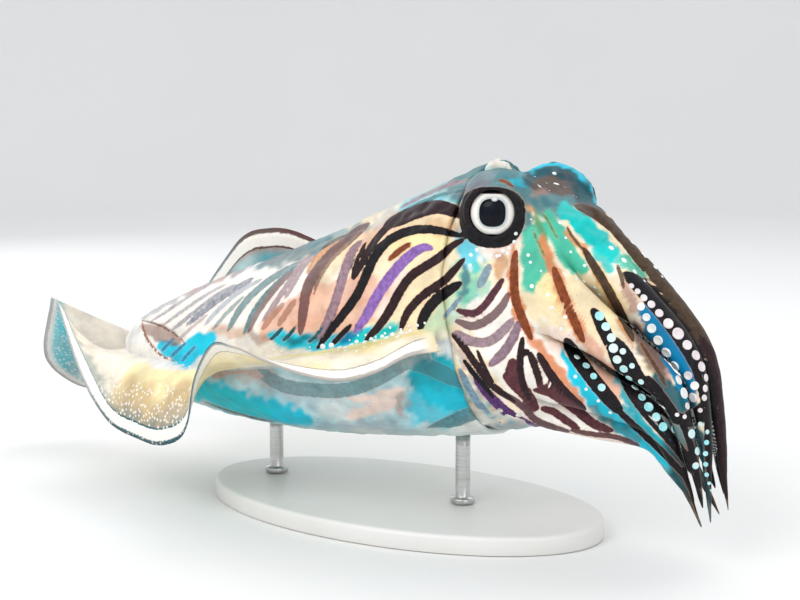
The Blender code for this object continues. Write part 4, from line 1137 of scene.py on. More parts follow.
# Crisp stripes of the mantle, later ones on top: colour, opacity, half width, columns and rows of knots
MANTLE_STRIPES = (
    ("blue", 0.8, 1.5, (161, 352, 168, 344, 175, 338)),
    ("blue", 0.8, 1.5, (170, 358, 178, 350, 186, 343)),
    ("blue", 0.8, 1.5, (180, 364, 188, 354, 196, 346)),
    ("bark", 0.8, 1.0, (141, 320, 156, 324, 172, 332, 186, 344)),
    ("rust", 0.8, 1.2, (142, 322, 145, 334, 152, 346, 162, 356, 176, 362)),
    ("slate", 0.7, 1.0, (138, 316, 160, 304, 184, 291, 206, 280, 236, 268, 262, 260)),
    ("grey", 0.8, 1.4, (150, 322, 172, 308, 196, 292, 214, 282)),
    ("grey", 0.8, 1.4, (162, 326, 184, 310, 206, 295, 226, 284)),
    ("grey", 0.9, 1.8, (170, 332, 192, 314, 214, 297, 236, 284)),
    ("grey", 1.0, 3.0, (186, 326, 200, 314, 218, 300, 238, 287, 254, 278)),
    ("mauve", 0.5, 1.5, (178, 340, 196, 324, 208, 314)),
    ("dusk", 0.55, 2.2, (204, 326, 220, 308, 238, 293, 262, 279)),
    ("slate", 0.65, 1.8, (212, 330, 228, 312, 244, 296)),
    ("slate", 0.8, 3.2, (227, 332, 240, 309, 256, 291, 276, 276, 300, 262)),
    ("slate", 0.9, 2.8, (243, 335, 254, 312, 268, 293, 286, 276, 310, 260)),
    ("plum", 0.75, 2.8, (248, 333, 258, 312, 270, 295, 282, 281, 294, 270)),
    ("mauve", 0.75, 2.6, (262, 322, 276, 302, 288, 284, 300, 266, 316, 252)),
    ("rust", 0.55, 3.0, (262, 330, 272, 316, 284, 303)),
    ("rust", 0.55, 3.0, (278, 326, 287, 312, 296, 299)),
    ("mauve", 0.7, 2.2, (284, 300, 294, 283, 306, 264, 320, 252)),
    ("tan", 0.8, 2.6, (306, 274, 317, 258, 332, 246, 346, 235)),
    ("plum", 0.85, 5.2, (300, 336, 303, 314, 306, 292, 316, 272, 332, 254, 350, 238, 370, 222)),
    ("claret", 0.7, 1.5, (312, 300, 318, 282, 330, 262, 346, 245, 366, 226)),
    ("mauve", 0.95, 4.6, (318, 338, 330, 316, 338, 294, 345, 270, 352, 252, 362, 240)),
    ("slate", 0.8, 2.0, (310, 256, 328, 244, 348, 234)),
    ("bark", 0.7, 1.8, (320, 250, 334, 241, 350, 234)),
    ("claret", 0.8, 2.2, (360, 262, 370, 246, 382, 231, 396, 218, 412, 208)),
    ("slate", 0.9, 1.8, (396, 215, 418, 204, 440, 195, 468, 190)),
    ("mauve", 0.8, 1.6, (400, 208, 424, 196, 446, 186, 468, 180)),
    ("ebony", 1.0, 2.0, (352, 281, 355, 266, 361, 252, 366, 242)),
    ("ebony", 1.0, 3.4, (353, 280, 361, 265, 369, 250, 378, 237, 390, 225, 402, 219)),
    ("ebony", 1.0, 7.0, (384, 227, 402, 218, 422, 210, 440, 207, 454, 211, 468, 216)),
    ("black", 1.0, 4.6, (316, 350, 330, 331, 345, 312, 357, 295, 366, 276, 374, 258, 384, 244, 400, 234,
        420, 229, 442, 231, 468, 238)),
    ("rust", 1.0, 2.8, (388, 261, 398, 252, 411, 243)),
    ("purple", 1.0, 5.4, (354, 333, 367, 315, 376, 298, 388, 280, 399, 266, 412, 254, 424, 247, 435, 249)),
    ("ebony", 1.0, 4.6, (364, 342, 380, 325, 391, 308, 400, 291, 411, 276, 426, 266, 440, 257, 452, 246,
        466, 238)),
    ("ebony", 1.0, 4.2, (400, 333, 406, 315, 418, 300, 430, 290, 445, 280, 456, 268, 465, 258)),
    ("black", 1.0, 5.4, (419, 331, 424, 316, 433, 303, 447, 292, 462, 282)),
    ("dusk", 0.9, 2.2, (442, 320, 452, 308, 462, 296)),
    ("black", 1.0, 2.6, (330, 347, 342, 334, 352, 324)),
    ("deep", 1.0, 1.8, (282, 342, 290, 334, 296, 326)),
    ("deep", 1.0, 1.8, (270, 340, 278, 333, 283, 327)),
    ("deep", 1.0, 1.6, (306, 344, 316, 336, 322, 328)),
)


# Within this angle of the middle of the back, in degrees, the pattern runs straight across it
BACK_FOLD = 28.0

# Mantle: start and run of each change, by the normal, in mm from the tail or in degrees from the back
MANTLE_FACING = (-0.06, 0.12)
CREAM_FROM = (150.0, 70.0)
FLANK = (96.0, 3.0)
FLANK_MARKS_END = 98.0
KEEL = (142.0, 16.0)
KEEL_SHARE = 0.85
KEEL_MARKS_END = 150.0
FIN_MARKS_END = 0.03
OFF_FINS = 99.0

# White speckles: along the right lobe and across it, then below the tail
SPECKLE_AHEAD = (112.0, -14.0)
SPECKLE_BEHIND = (26.0, 16.0)
SPECKLE_ACROSS = (0.40, 0.12)
TAIL_SPECKLE = (50.0, -12.0)
TAIL_SPECKLE_SHARE = 0.4

# Fin edges, in mm from the tail
EDGE_LOBE_AHEAD = (150.0, -12.0)
EDGE_LOBE_BEHIND = (30.0, 10.0)
EDGE_CLARET = (62.0, 10.0)
EDGE_TAIL = (52.0, -14.0)
EDGE_UNDER_BAND = (40.0, 20.0)
EDGE_FRONT_END = (249.0, -7.0)

# Where the teal below the tail ends on the sheet: column, columns per row, first row, softness
TAIL_LINE = (64.0, 0.33, 300.0, 6.0)

# Fins: start and run of each change, by the share v from root to edge, mm from the tail or from the edge
FRONT_YELLOW = (0.40, -0.2)
LOBE_YELLOW = (0.10, 0.12)
LOBE_YELLOW_BEHIND = (38.0, 16.0)
LOBE_BEIGE = (0.42, 0.18)
LOBE_BEIGE_BEHIND = (34.0, 24.0)
LOBE_GREY = (0.66, 0.14)
LOBE_GREY_BEHIND = (40.0, 20.0)
# Painted shade: slate on the right fin's upper face, from 11 mm in up to the white band at its edge
LOBE_RIM_SHADE = (11.0, -4.5)
# Painted shade: slate on the left fin's upper face, darker towards its root
FAR_ROOT_SHADE = (0.34, -0.14)
FAR_RIM = (8.4, -0.8)
FAR_RIM_AHEAD = (74.0, -8.0)
REAR = (118.0, -14.0)
TAIL = (52.0, -8.0)
TAIL_ROSE = (16.0, 3.0)
ROOT_BLEND = 0.04
ROOT_BLEND_LOBE = (40.0, 30.0)
ROOT_LINE = (0.02, -0.02)
FRONT_END = (240.0, 9.0)


def mantle_colours(points, normals, places):
    """Washes, stripes and speckle of the mantle and fins, the left side mirrored.

    Near the middle of the back the painted place is that of the ring's point at (a + t^2 / a) / 2
    from the middle, with t the angle and a the fold, so that no stripe is stretched along the view.
    """
    s, angle, v, face = places.T
    turn = np.degrees(np.abs(np.where(angle > np.pi, angle - 2.0 * np.pi, angle)))
    s = s * 1000.0
    drift, fine = wobble(points, DRIFT, 1), wobble(points, MANTLE_GRAIN, 2)
    on_fin, on_right = v > 0.0, (angle > np.pi) | (angle < 0.0)
    share = np.where(on_fin, on_right, ramp(normals @ viewpoint(-1.0)[1], *MANTLE_FACING))
    white, cream, grey = palette("white"), palette("cream"), palette("grey")
    base = blend(blend(white, grey, 0.15 + 0.12 * drift), cream, ramp(s + 15.0 * drift, *CREAM_FROM))
    belly = blend(blend(white, palette("cyan"), 0.22 + 0.10 * drift), grey, 0.15 + 0.15 * fine)
    on_top = (turn < BACK_FOLD) & ~on_fin
    folded = np.radians(0.5 * (BACK_FOLD + turn ** 2 / BACK_FOLD))
    low = turn > FLANK_MARKS_END
    painted_sides = []
    for side in (-1.0, 1.0):
        shown = np.where(on_top[:, None], mantle_point(s / 1000.0, side * folded), points)
        place = sheet_place(shown, side)
        wavy = wavy_place(place, MANTLE_WAVE, 73)
        grain = wobble(place, WASH_GRAIN_SIZE, 75)
        back_colour = washed_over(base, wavy, MANTLE_WASHES + HEAD_WASHES[UNDER_MANTLE:], grain)
        belly_colour = washed_over(belly, wavy, BELLY_WASHES, grain)
        distance, mark = stroke_field(place, MANTLE_STRIPES + HEAD_STROKES)
        low_distance, low_mark = stroke_field(place, BELLY_STROKES_AND_SHADOW)
        distance = np.where(low, low_distance, distance) * SHEET_STEP
        painted_sides.append((back_colour, belly_colour, distance, np.where(low[:, None], low_mark, mark)))
    right, left = painted_sides
    back_colour, belly_colour = (blend(left[each], right[each], share) for each in (0, 1))
    distance = np.where(share > 0.5, right[2], left[2])
    mark = np.where((share > 0.5)[:, None], right[3], left[3])
    keel = blend(white, palette("teal"), 0.30 + 0.1 * drift)
    belly_colour = blend(belly_colour, keel, ramp(turn, *KEEL) * KEEL_SHARE)
    colour = blend(back_colour, belly_colour, ramp(turn, *FLANK))
    distance = np.where((turn > KEEL_MARKS_END) & ~on_fin, NO_MARK, distance)
    side = np.where(on_right, -1.0, 1.0)
    gap = np.where(on_fin, (1.0 - v) * fin_span(s, side), OFF_FINS)
    across = np.where((side > 0)[:, None], sheet_place(points, -1.0), sheet_place(points, 1.0))
    column, slant, row, softness = TAIL_LINE
    outer = smooth_step((column + slant * (across[:, 1] - row) - across[:, 0]) / softness)
    fin_colour = fin_colours(s, v, face, side, gap, drift, fine, outer, back_colour, belly_colour)
    colour = np.where(on_fin[:, None], fin_colour, colour)
    far_piece = on_fin & ((v > FIN_MARKS_END) | (face < 0))
    edge, edge_share = fin_edge(s, face, side)
    speckle = ramp(s, *SPECKLE_AHEAD) * ramp(s, *SPECKLE_BEHIND) * ramp(v - 0.08 * drift, *SPECKLE_ACROSS)
    speckle = speckle * (face > 0) * (side < 0)
    tail_speckle = TAIL_SPECKLE_SHARE * outer * (face < 0) * on_fin * ramp(s, *TAIL_SPECKLE)
    return {
        "ground": opaque(colour), "mark": np.where(far_piece[:, None], edge, mark),
        "mark_distance": np.where(far_piece, NO_MARK, distance), "speckle": np.maximum(speckle, tail_speckle),
        "edge_gap": gap, "edge_band": np.where(on_fin, edge_share, 0.0),
    }


def fin_span(s, side):
    """Length of a fin from root to edge in millimetres, at s millimetres from the tail."""
    s = s / 1000.0
    edge = np.where((side > 0)[:, None], through(LEFT_FIN_EDGE, s), through(RIGHT_FIN_EDGE, s))
    return 1000.0 * np.linalg.norm(edge - mantle_point(s, side * FIN_ROOT_ANGLE), axis=1)


def fin_edge(s, face, side):
    """Colour of the fine lines along a fin's edge, and how much of the white edge band shows."""
    lobe = ramp(s, *EDGE_LOBE_AHEAD) * ramp(s, *EDGE_LOBE_BEHIND)
    line = blend(np.broadcast_to(palette("umber"), (len(s), 3)), palette("deep"), lobe * (side < 0))
    line = blend(line, palette("claret"), ramp(s, *EDGE_CLARET) * (side > 0))
    line = blend(line, 0.5 * palette("slate") + 0.5 * palette("grey"), ramp(s, *EDGE_TAIL))
    strength = np.where(face > 0, 0.55 + 0.4 * lobe, 0.5)
    band = np.where(face > 0, 1.0, np.where(side > 0, 0.0, 0.8 * ramp(s, *EDGE_UNDER_BAND)))
    ahead = ramp(s, *EDGE_FRONT_END)
    return np.column_stack([line, strength * ahead]), band * ahead


def fin_colours(s, v, face, side, gap, drift, fine, outer, back_colour, belly_colour):
    """Fins: cream above with a beige lobe on the right one and teal on the far one, teal below the tail;
    slate painted shade inside the right lobe's white edge band and towards the far fin's root.
    """
    cream, white, yellow = palette("cream"), palette("white"), palette("yellow")
    grey, teal = palette("grey"), palette("teal")
    above = face > 0
    front = blend(blend(cream, white, 0.55), yellow, 0.25 + 0.35 * drift)
    front = blend(front, yellow, ramp(v, *FRONT_YELLOW) * 0.8)
    lobe = blend(blend(white, cream, 0.45), grey, 0.08 + 0.06 * drift)
    lobe = blend(lobe, yellow, ramp(v, *LOBE_YELLOW) * ramp(s + 6.0 * drift, *LOBE_YELLOW_BEHIND) * 0.75)
    beige = ramp(v + 0.10 * drift, *LOBE_BEIGE) * ramp(s, *LOBE_BEIGE_BEHIND) * 0.75
    lobe = blend(lobe, palette("beige"), beige)
    lobe = blend(lobe, grey, ramp(v + 0.06 * drift, *LOBE_GREY) * ramp(s, *LOBE_GREY_BEHIND) * 0.35)
    # Painted shade: slate just inside the right lobe's white edge band
    lobe = blend(lobe, palette("slate"), ramp(gap - 1.5 * fine, *LOBE_RIM_SHADE) * 0.45)
    far = blend(teal, white, 0.34 + 0.10 * drift)
    # Painted shade: slate on the far fin, darker towards its root
    far = blend(far, palette("slate"), ramp(v - 0.06 * drift, *FAR_ROOT_SHADE) * 0.5)
    far = blend(far, palette("rose"), ramp(gap, *FAR_RIM) * ramp(s, *FAR_RIM_AHEAD) * 0.85)
    rear = ramp(s, *REAR)
    top = np.where((side < 0)[:, None], blend(front, lobe, rear), blend(front, far, rear))
    tail = ramp(s - 8.0 * drift, *TAIL)
    under = blend(blend(yellow, cream, 0.45), white, 0.25 + 0.2 * drift)
    under = blend(under, blend(blend(white, cream, 0.35), grey, 0.14 + 0.08 * drift), tail)
    under = blend(under, blend(teal, white, 0.18 + 0.12 * drift), tail * outer * 0.95)
    under = blend(under, palette("rose"), tail * outer * ramp(s - 3.0 * drift, *TAIL_ROSE) * 0.35)
    colour = np.where(above[:, None], top, under)
    reach = ROOT_BLEND + 0.22 * rear * ramp(s, *ROOT_BLEND_LOBE) * above * (side < 0)
    root = ramp(v, reach, -ROOT_BLEND) * np.where(above & (s > REAR[0]), ramp(v, *ROOT_LINE), 1.0)
    root = np.maximum(root, ramp(s, *FRONT_END) * 0.8)
    return blend(colour, np.where(above[:, None], back_colour, belly_colour), root)


def eye_patch(points):
    """Share of the way from an eye's middle to the edge of its black patch; 1 at the edge."""
    nearest = np.full(len(points), OUTSIDE_PATCH)
    for side in (1.0, -1.0):
        axis, up, ahead = eye_frame(side)
        offset = points - dome_centre(side)
        across, high = offset @ ahead, offset @ up
        out = offset @ axis
        reach = np.where(across > 0, EYE_PATCH[0], EYE_PATCH[1])
        tall = np.where(high > 0, EYE_PATCH[2], EYE_PATCH[3])
        share = np.abs(across / reach) ** PATCH_POWER + np.abs(high / tall) ** PATCH_POWER
        nearest = np.minimum(nearest, np.where(out > 0.0, share ** (1 / PATCH_POWER), OUTSIDE_PATCH))
    return nearest


def shaped_head(points, places):
    """The head's surface with a hollow behind each eyeball and an open groove for the funnel."""
    points = points.copy()
    own = places[:, 2] == 0
    for side, _ in SIDES:
        axis, _, _ = eye_frame(side)
        centre = dome_centre(side)
        offset = points - centre
        reach = np.linalg.norm(offset, axis=1)
        theta = np.degrees(np.arccos(np.clip((offset @ axis) / reach, -1.0, 1.0)))
        sink = ramp(theta, *HOLLOW_ANGLE) * own * (reach < HOLLOW_REACH)
        new_reach = reach * (1.0 - sink) + HOLLOW_RADIUS * sink
        points = centre + offset * (new_reach / reach)[:, None]
    x, y, z = points.T
    radius = FUNNEL_RADIUS_BACK + GROOVE_ROOM
    roof = FUNNEL_Z + np.sqrt(np.clip(radius ** 2 - y ** 2, 0.0, None))
    amount = ramp(np.abs(y), radius + GROOVE_SOFTNESS, -GROOVE_SOFTNESS) * ramp(x, *GROOVE_BACK)
    amount = amount * ramp(x, *GROOVE_FRONT) * (z < FUNNEL_Z) * own
    points[:, 2] = z + (roof - z) * amount
    return points


def surface_frames(surface, first, second, step=1e-4):
    """Points of a surface function, its unit normals and its first direction, by small differences."""
    point = surface(first, second)
    along = unit(surface(first + step, second) - surface(first - step, second))
    across = unit(surface(first, second + step) - surface(first, second - step))
    return point, unit(np.cross(along, across)), along


def scatter(template, faces, points, normals, along, radii):
    """Copies of one small form, its third axis on each normal; faces holds its quads and triangles."""
    side = np.cross(normals, along)
    along = np.cross(side, normals)
    placed = points[:, None] + radii[:, None, None] * (
        template[None, :, :1] * along[:, None] + template[None, :, 1:2] * side[:, None])
    placed = placed + (radii[:, None] * template[None, :, 2])[..., None] * normals[:, None]
    shift = np.arange(len(points))[:, None, None] * len(template)
    quads, triangles = ((each[None] + shift).reshape(-1, each.shape[1]) for each in faces)
    return placed.reshape(-1, 3), quads, triangles


def lathe_template(profile, columns):
    """A small closed form of revolution from rows of radius and height, poles at both ends."""
    rings = oval_rings([(radius, radius, height) for radius, height in profile[1:-1]], columns)
    points, *faces = closed_form(rings, [0.0, 0.0, profile[0][1]], [0.0, 0.0, profile[-1][1]])
    return points, faces


# Small forms: rows of radius and height, in shares of their own radius
SUCKER_PROFILE = (
    (0.0, -0.6), (0.86, -0.5), (1.0, 0.08), (0.93, 0.22), (0.80, 0.24), (0.62, 0.12), (0.0, 0.04))
SPOT_PROFILE = ((0.0, -0.6), (0.96, -0.5), (1.0, 0.02), (0.80, 0.16), (0.0, 0.24))
# Rows of suckers that show from the front quarters: tone, count, radii at start, middle and end,
# columns and rows of knots on the sheet
SHOWN_SUCKERS = (
    ("rosy", 13, (2.8, 6.2, 3.6), (631, 286, 640, 294, 652, 305, 668, 324, 684, 341, 697, 358, 706, 380,
        704, 398)),
    ("rosy", 4, (2.6, 2.5, 2.2), (700, 410, 693, 415, 684, 417, 677, 415)),
    ("white", 8, (4.0, 6.0, 5.6), (641, 307, 652, 329, 662, 347, 674, 363, 678, 378, 684, 393)),
    ("rosy", 4, (4.8, 5.0, 4.0), (688, 376, 695, 388, 693, 398, 687, 406)),
    ("aqua", 8, (2.6, 2.8, 1.5), (700, 424, 707, 431, 706, 444, 705, 462, 708, 480, 711, 490)),
    ("aqua", 4, (5.4, 4.0, 2.8), (692, 434, 697, 449, 696, 463, 692, 477)),
    ("aqua", 12, (5.0, 4.4, 5.2), (600, 316, 611, 337, 616, 357, 625, 371, 636, 389, 648, 405, 663, 427)),
    ("aqua", 4, (3.3, 3.2, 4.2), (623, 351, 632, 367, 644, 385, 653, 398)),
    ("aqua", 2, (4.3, 4.3, 4.3), (673, 430, 678, 439)),
    ("aqua", 4, (3.6, 4.0, 4.2), (577, 357, 585, 365, 593, 375, 602, 387)),
    ("white", 4, (1.9, 1.9, 2.0), (575, 377, 587, 391, 600, 403, 610, 413)),
)
INNER_ROWS = (-34.0, -12.0, 12.0, 34.0)
INNER_FIRST = 0.20
INNER_LAST = 0.95
INNER_SIZE = 0.155
INNER_STAGGER = 0.014
INNER_PACE = 2.3
LEAST_TAPER = 0.1
DISC_GAP = 0.6
SIGHT_LIFT = 0.0025
SHOWN_FROM_X = 0.09


def inner_suckers(number):
    """Shares, directions and radii of the suckers on an arm's inner face: four rows, growing smaller."""
    shares, turns, radii = [], [], []
    length = CROWN_SPAN * ARM_REACH[number]
    for row, offset in enumerate(INNER_ROWS):
        v = INNER_FIRST + INNER_STAGGER * (row % 2)
        while v < INNER_LAST:
            half_width = float(arm_half_width(np.array(v), number)) / 1000.0
            radius = INNER_SIZE * half_width * math.sqrt(max(1.0 - v ** TAPER_POWER, LEAST_TAPER))
            shares.append(v)
            turns.append(180.0 + offset)
            radii.append(radius)
            v += INNER_PACE * radius / length
    return np.array(shares), np.array(turns), np.array(radii)


def row_places(count, radii, knots):
    """Places and radii along a smooth curve on the sheet, spaced so that the gaps between discs are even."""
    rank = np.linspace(0.0, 1.0, count)
    sizes_here = np.interp(rank, (0.0, 0.5, 1.0), radii)
    steps = 0.5 * (sizes_here[1:] + sizes_here[:-1]) + DISC_GAP
    along = np.concatenate([[0.0], np.cumsum(steps)])
    return through(paced(knots), along / max(along[-1], 1e-6)), sizes_here


def cast_on(tree, places, side):
    """Where the lines of sight through places on the sheet first meet a surface: points, normals, depths."""
    eye, back, right, up = viewpoint(side)
    focal = SHEET[0] * CAMERA_LENS / CAMERA_SENSOR
    found = []
    for u, w in places:
        way = -back + right * (u - 0.5 * SHEET[0]) / focal - up * (w - 0.5 * SHEET[1]) / focal
        hit, normal, _, _ = tree.ray_cast(Vector(eye), Vector(way))
        found.append((*hit, *normal, 1.0) if hit else (0.0,) * 7)
    found = np.array(found)
    return found[:, :3], found[:, 3:6], found[:, 6] > 0.5, np.linalg.norm(found[:, :3] - eye, axis=1) / focal


def seen(tree, points, normals, sides=(-1.0, 1.0)):
    """Whether each point, lifted a little, shows from the front quarters on these sides."""
    shown = np.zeros(len(points), bool)
    for side in sides:
        eye = viewpoint(side)[0]
        for place, (point, normal) in enumerate(zip(points, normals)):
            start = point + normal * SIGHT_LIFT
            way = unit(eye - start)
            if tree.ray_cast(Vector(start), Vector(way))[0] is None:
                shown[place] = True
    return shown


def arm_surface(side, number):
    """The arm's surface as a function of share and direction from the outward side, in radians."""
    def surface(v, around):
        roll = np.radians(arm_roll(side, number, v))
        return arm_loop(side, number, v, around - roll)
    return surface


def outward(points, normals, middles):
    """Normals turned away from the given middle points."""
    facing = ((points - middles) * normals).sum(axis=1)
    return normals * np.where(facing < 0.0, -1.0, 1.0)[:, None]


# Finishes: noise values that count as low and high
NOISE_LOW = 0.3
NOISE_HIGH = 0.7
NOISE_ROUGHNESS = 0.55

# Fin edges in mm: the white band, the line along it and the line at the rim, from none to full
BAND_WIDTH = 6.0
BAND_SOFTNESS = 0.5
BAND_LINE = (0.5, 0.2)
RIM_LINE = (1.8, 1.2)

# Skin: scales of noise and dots per metre
SKIN_COARSE = 70.0
SKIN_GRAIN = 420.0
SKIN_RELIEF = 260.0
PIGMENT_DOTS = 1150.0
PIGMENT_PATCHES = 55.0
WHITE_DOTS = 400.0

# Skin: value ranges and what they give; distances from a stroke's edge in mm
WASH_SHADE = (0.30, 0.72, 0.80, 1.10)
EDGE_WAVER = 1.1
STROKE_EDGE = (0.22, -0.18)
STROKE_RIM = (0.9, 0.2)
STROKE_RIM_SHARE = 0.22
PIGMENT_EDGE = (0.30, 0.16)
PIGMENT_SHARE = (0.42, 0.64, 0.0, 0.42)
WHITE_DOT_SHARE = (0.42, 0.24, 0.0, 0.8)

# Eye, flesh, stand and paper: scales of noise, and colours in linear values
IRIS_THREADS = 5.0
PUPIL_GLEAM = 160.0
PUPIL_EDGE = 0.10
PUPIL_BLACK = (0.003, 0.004, 0.008, 1.0)
PUPIL_BLUE = (0.005, 0.014, 0.030, 1.0)
FLESH_TONES = (0.38, 0.62)
FLESH_FINENESS = 8.0
LACQUER = ((0.74, 0.73, 0.70, 1.0), (0.80, 0.79, 0.765, 1.0))
LACQUER_TONES = 9.0
LACQUER_PEEL = 520.0
STEEL = ((0.50, 0.50, 0.50, 1.0), (0.64, 0.635, 0.62, 1.0))
BRUSHING = (60.0, 60.0, 2400.0)
PAPER = (0.86, 0.86, 0.85, 1.0)
PAPER_TONES = 2.0


def node(tree, kind, inputs=None, **settings):
    """A new shader node: settings go on the node, inputs are constants or sockets to link."""
    made = tree.nodes.new(kind)
    for setting, value in settings.items():
        setattr(made, setting, value)
    for name, value in (inputs or {}).items():
        if isinstance(value, bpy.types.NodeSocket):
            tree.links.new(value, made.inputs[name])
        else:
            made.inputs[name].default_value = value
    return made


def new_finish(name, **values):
    """A material with one Principled shader, its constant values on the shader's own sockets."""
    finish = bpy.data.materials.new(name)
    finish.use_nodes = True
    tree = finish.node_tree
    tree.nodes.clear()
    shader = node(tree, "ShaderNodeBsdfPrincipled")
    for socket, value in values.items():
        shader.inputs[socket.replace("_", " ").title().replace("Ior", "IOR")].default_value = value
    node(tree, "ShaderNodeOutputMaterial", {"Surface": shader.outputs["BSDF"]})
    return finish, tree, shader


def attribute(tree, name, output="Fac"):
    """One output of a mesh attribute."""
    return node(tree, "ShaderNodeAttribute", attribute_name=name, attribute_type="GEOMETRY").outputs[output]


def object_place(tree):
    """The place on the object, in its own coordinates."""
    return node(tree, "ShaderNodeTexCoord").outputs["Object"]


def noise(tree, place, scale, detail=3.0):
    """Smooth random values about one half."""
    return node(tree, "ShaderNodeTexNoise", {
        "Vector": place, "Scale": scale, "Detail": detail, "Roughness": NOISE_ROUGHNESS}).outputs["Fac"]


def spread(tree, value, low, high):
    """Noise brought to a range, held at its ends."""
    return remap(tree, value, NOISE_LOW, NOISE_HIGH, low, high)


def remap(tree, value, low, high, to_low=0.0, to_high=1.0):
    """The value moved from one range to another along a smooth step, held at its ends."""
    return node(tree, "ShaderNodeMapRange", {
        "Value": value, "From Min": low, "From Max": high, "To Min": to_low, "To Max": to_high},
        interpolation_type="SMOOTHSTEP").outputs["Result"]


def arithmetic(tree, operation, first, *others):
    """One number worked out of up to three."""
    inputs = dict(enumerate((first, *others)))
    return node(tree, "ShaderNodeMath", inputs, operation=operation).outputs["Value"]


def product(tree, first, second):
    """Two numbers multiplied."""
    return arithmetic(tree, "MULTIPLY", first, second)


def mix_colour(tree, share, first, second, way="MIX"):
    """Two colours mixed by a share, or the first multiplied by the second."""
    inputs = {0: share, 6: first, 7: second}
    return node(tree, "ShaderNodeMix", inputs, data_type="RGBA", blend_type=way).outputs[2]


def shaded(tree, colour, shade):
    """A colour multiplied by a grey value."""
    return mix_colour(tree, 1.0, colour, shade, "MULTIPLY")


def fixed(name):
    """A default colour of the palette as a constant of a shader."""
    return (*linear(PALETTE[name][1]), 1.0)


def dress(tree, shader, colour, roughness=None, height=None, strength=0.0, distance=0.0):
    """Links a shader's colour and, where given, its roughness and relief."""
    tree.links.new(colour, shader.inputs["Base Color"])
    if roughness:
        tree.links.new(roughness, shader.inputs["Roughness"])
    if height:
        bump = node(tree, "ShaderNodeBump", {"Strength": strength, "Distance": distance, "Height": height})
        tree.links.new(bump.outputs["Normal"], shader.inputs["Normal"])


def edge_bands(tree, colour, wavy, mark, opacity):
    """The fins' white edge band between two fine lines, by the distance from the edge in mm."""
    gap = arithmetic(tree, "ADD", attribute(tree, "edge_gap"), wavy)
    share = attribute(tree, "edge_band")
    inside = remap(tree, gap, BAND_WIDTH, BAND_WIDTH - BAND_SOFTNESS)
    banded = mix_colour(tree, product(tree, share, inside), colour, fixed("white"))
    offset = arithmetic(tree, "ABSOLUTE", arithmetic(tree, "SUBTRACT", gap, BAND_WIDTH))
    line = product(tree, product(tree, remap(tree, offset, *BAND_LINE), share), opacity)
    banded = mix_colour(tree, line, banded, mark)
    return mix_colour(tree, product(tree, remap(tree, gap, *RIM_LINE), opacity), banded, mark)


def skin_finish(name, fins=False):
    """Wet skin: painted washes, crisp-edged strokes, fine pigment dots, white dots and a thin clear coat."""
    finish, tree, shader = new_finish(
        name, coat_weight=0.06, coat_roughness=0.20, specular_ior_level=0.22, subsurface_weight=0.05,
        subsurface_scale=0.003, ior=1.36)
    place = object_place(tree)
    mark = attribute(tree, "mark", "Color")
    opacity = mark.node.outputs["Alpha"]
    coarse = noise(tree, place, SKIN_COARSE, 5.0)
    grain = noise(tree, place, SKIN_GRAIN)
    washed = shaded(tree, attribute(tree, "ground", "Color"), remap(tree, coarse, *WASH_SHADE))
    wavy = arithmetic(tree, "MULTIPLY_ADD", grain, EDGE_WAVER, -0.5 * EDGE_WAVER)
    edge = arithmetic(tree, "ADD", attribute(tree, "mark_distance"), wavy)
    tinted = shaded(tree, mark, spread(tree, grain, 0.75, 1.25))
    rim = product(tree, product(tree, remap(tree, edge, *STROKE_RIM), opacity), STROKE_RIM_SHARE)
    rimmed = mix_colour(tree, rim, washed, fixed("orange"))
    marked = mix_colour(tree, product(tree, remap(tree, edge, *STROKE_EDGE), opacity), rimmed, tinted)
    if fins:
        marked = edge_bands(tree, marked, wavy, mark, opacity)
    cells = node(tree, "ShaderNodeTexVoronoi", {"Vector": place, "Scale": PIGMENT_DOTS, "Randomness": 1.0})
    patches = remap(tree, noise(tree, place, PIGMENT_PATCHES, 2.0), *PIGMENT_SHARE)
    dots = product(tree, remap(tree, cells.outputs["Distance"], *PIGMENT_EDGE), patches)
    dotted = mix_colour(tree, dots, marked, fixed("rust"))
    freckles = node(tree, "ShaderNodeTexVoronoi", {"Vector": place, "Scale": WHITE_DOTS, "Randomness": 0.9})
    white_dots = remap(tree, freckles.outputs["Distance"], *WHITE_DOT_SHARE)
    colour = mix_colour(tree, product(tree, white_dots, attribute(tree, "speckle")), dotted, fixed("white"))
    relief = arithmetic(tree, "ADD", product(tree, noise(tree, place, SKIN_RELIEF, 4.0), 0.7),
                        product(tree, cells.outputs["Distance"], 0.3))
    dress(tree, shader, colour, spread(tree, coarse, 0.36, 0.56), relief, 0.35, 0.0006)
    return finish


def eye_finish():
    """Glassy eye: washes from the mesh, a crisp blue-black pupil, radial threads, all under a clear coat."""
    finish, tree, shader = new_finish(
        "cuttlefish eye", coat_weight=0.15, coat_roughness=0.03, specular_ior_level=0.12, ior=1.36,
        roughness=0.35)
    threads = noise(tree, attribute(tree, "iris_place", "Vector"), IRIS_THREADS, 4.0)
    washed = shaded(tree, attribute(tree, "ground", "Color"), spread(tree, threads, 0.93, 1.03))
    gleam = remap(tree, noise(tree, object_place(tree), PUPIL_GLEAM), 0.45, 0.75, 0.0, 0.35)
    night = mix_colour(tree, gleam, PUPIL_BLACK, PUPIL_BLUE)
    pupil = remap(tree, attribute(tree, "pupil"), PUPIL_EDGE, -PUPIL_EDGE)
    dress(tree, shader, mix_colour(tree, pupil, washed, night))
    return finish


def flesh_finish(name, colour, second, scale):
    """Pale firm flesh, such as suckers: two tones by noise, a clear coat and fine relief."""
    finish, tree, shader = new_finish(
        name, coat_weight=0.12, coat_roughness=0.14, subsurface_weight=0.05, subsurface_scale=0.002, ior=1.38)
    place = object_place(tree)
    tone = remap(tree, noise(tree, place, scale), *FLESH_TONES)
    fine = noise(tree, place, scale * FLESH_FINENESS)
    dress(tree, shader, mix_colour(tree, tone, (*colour, 1.0), (*second, 1.0)),
          spread(tree, fine, 0.32, 0.50), fine, 0.25, 0.0003)
    return finish


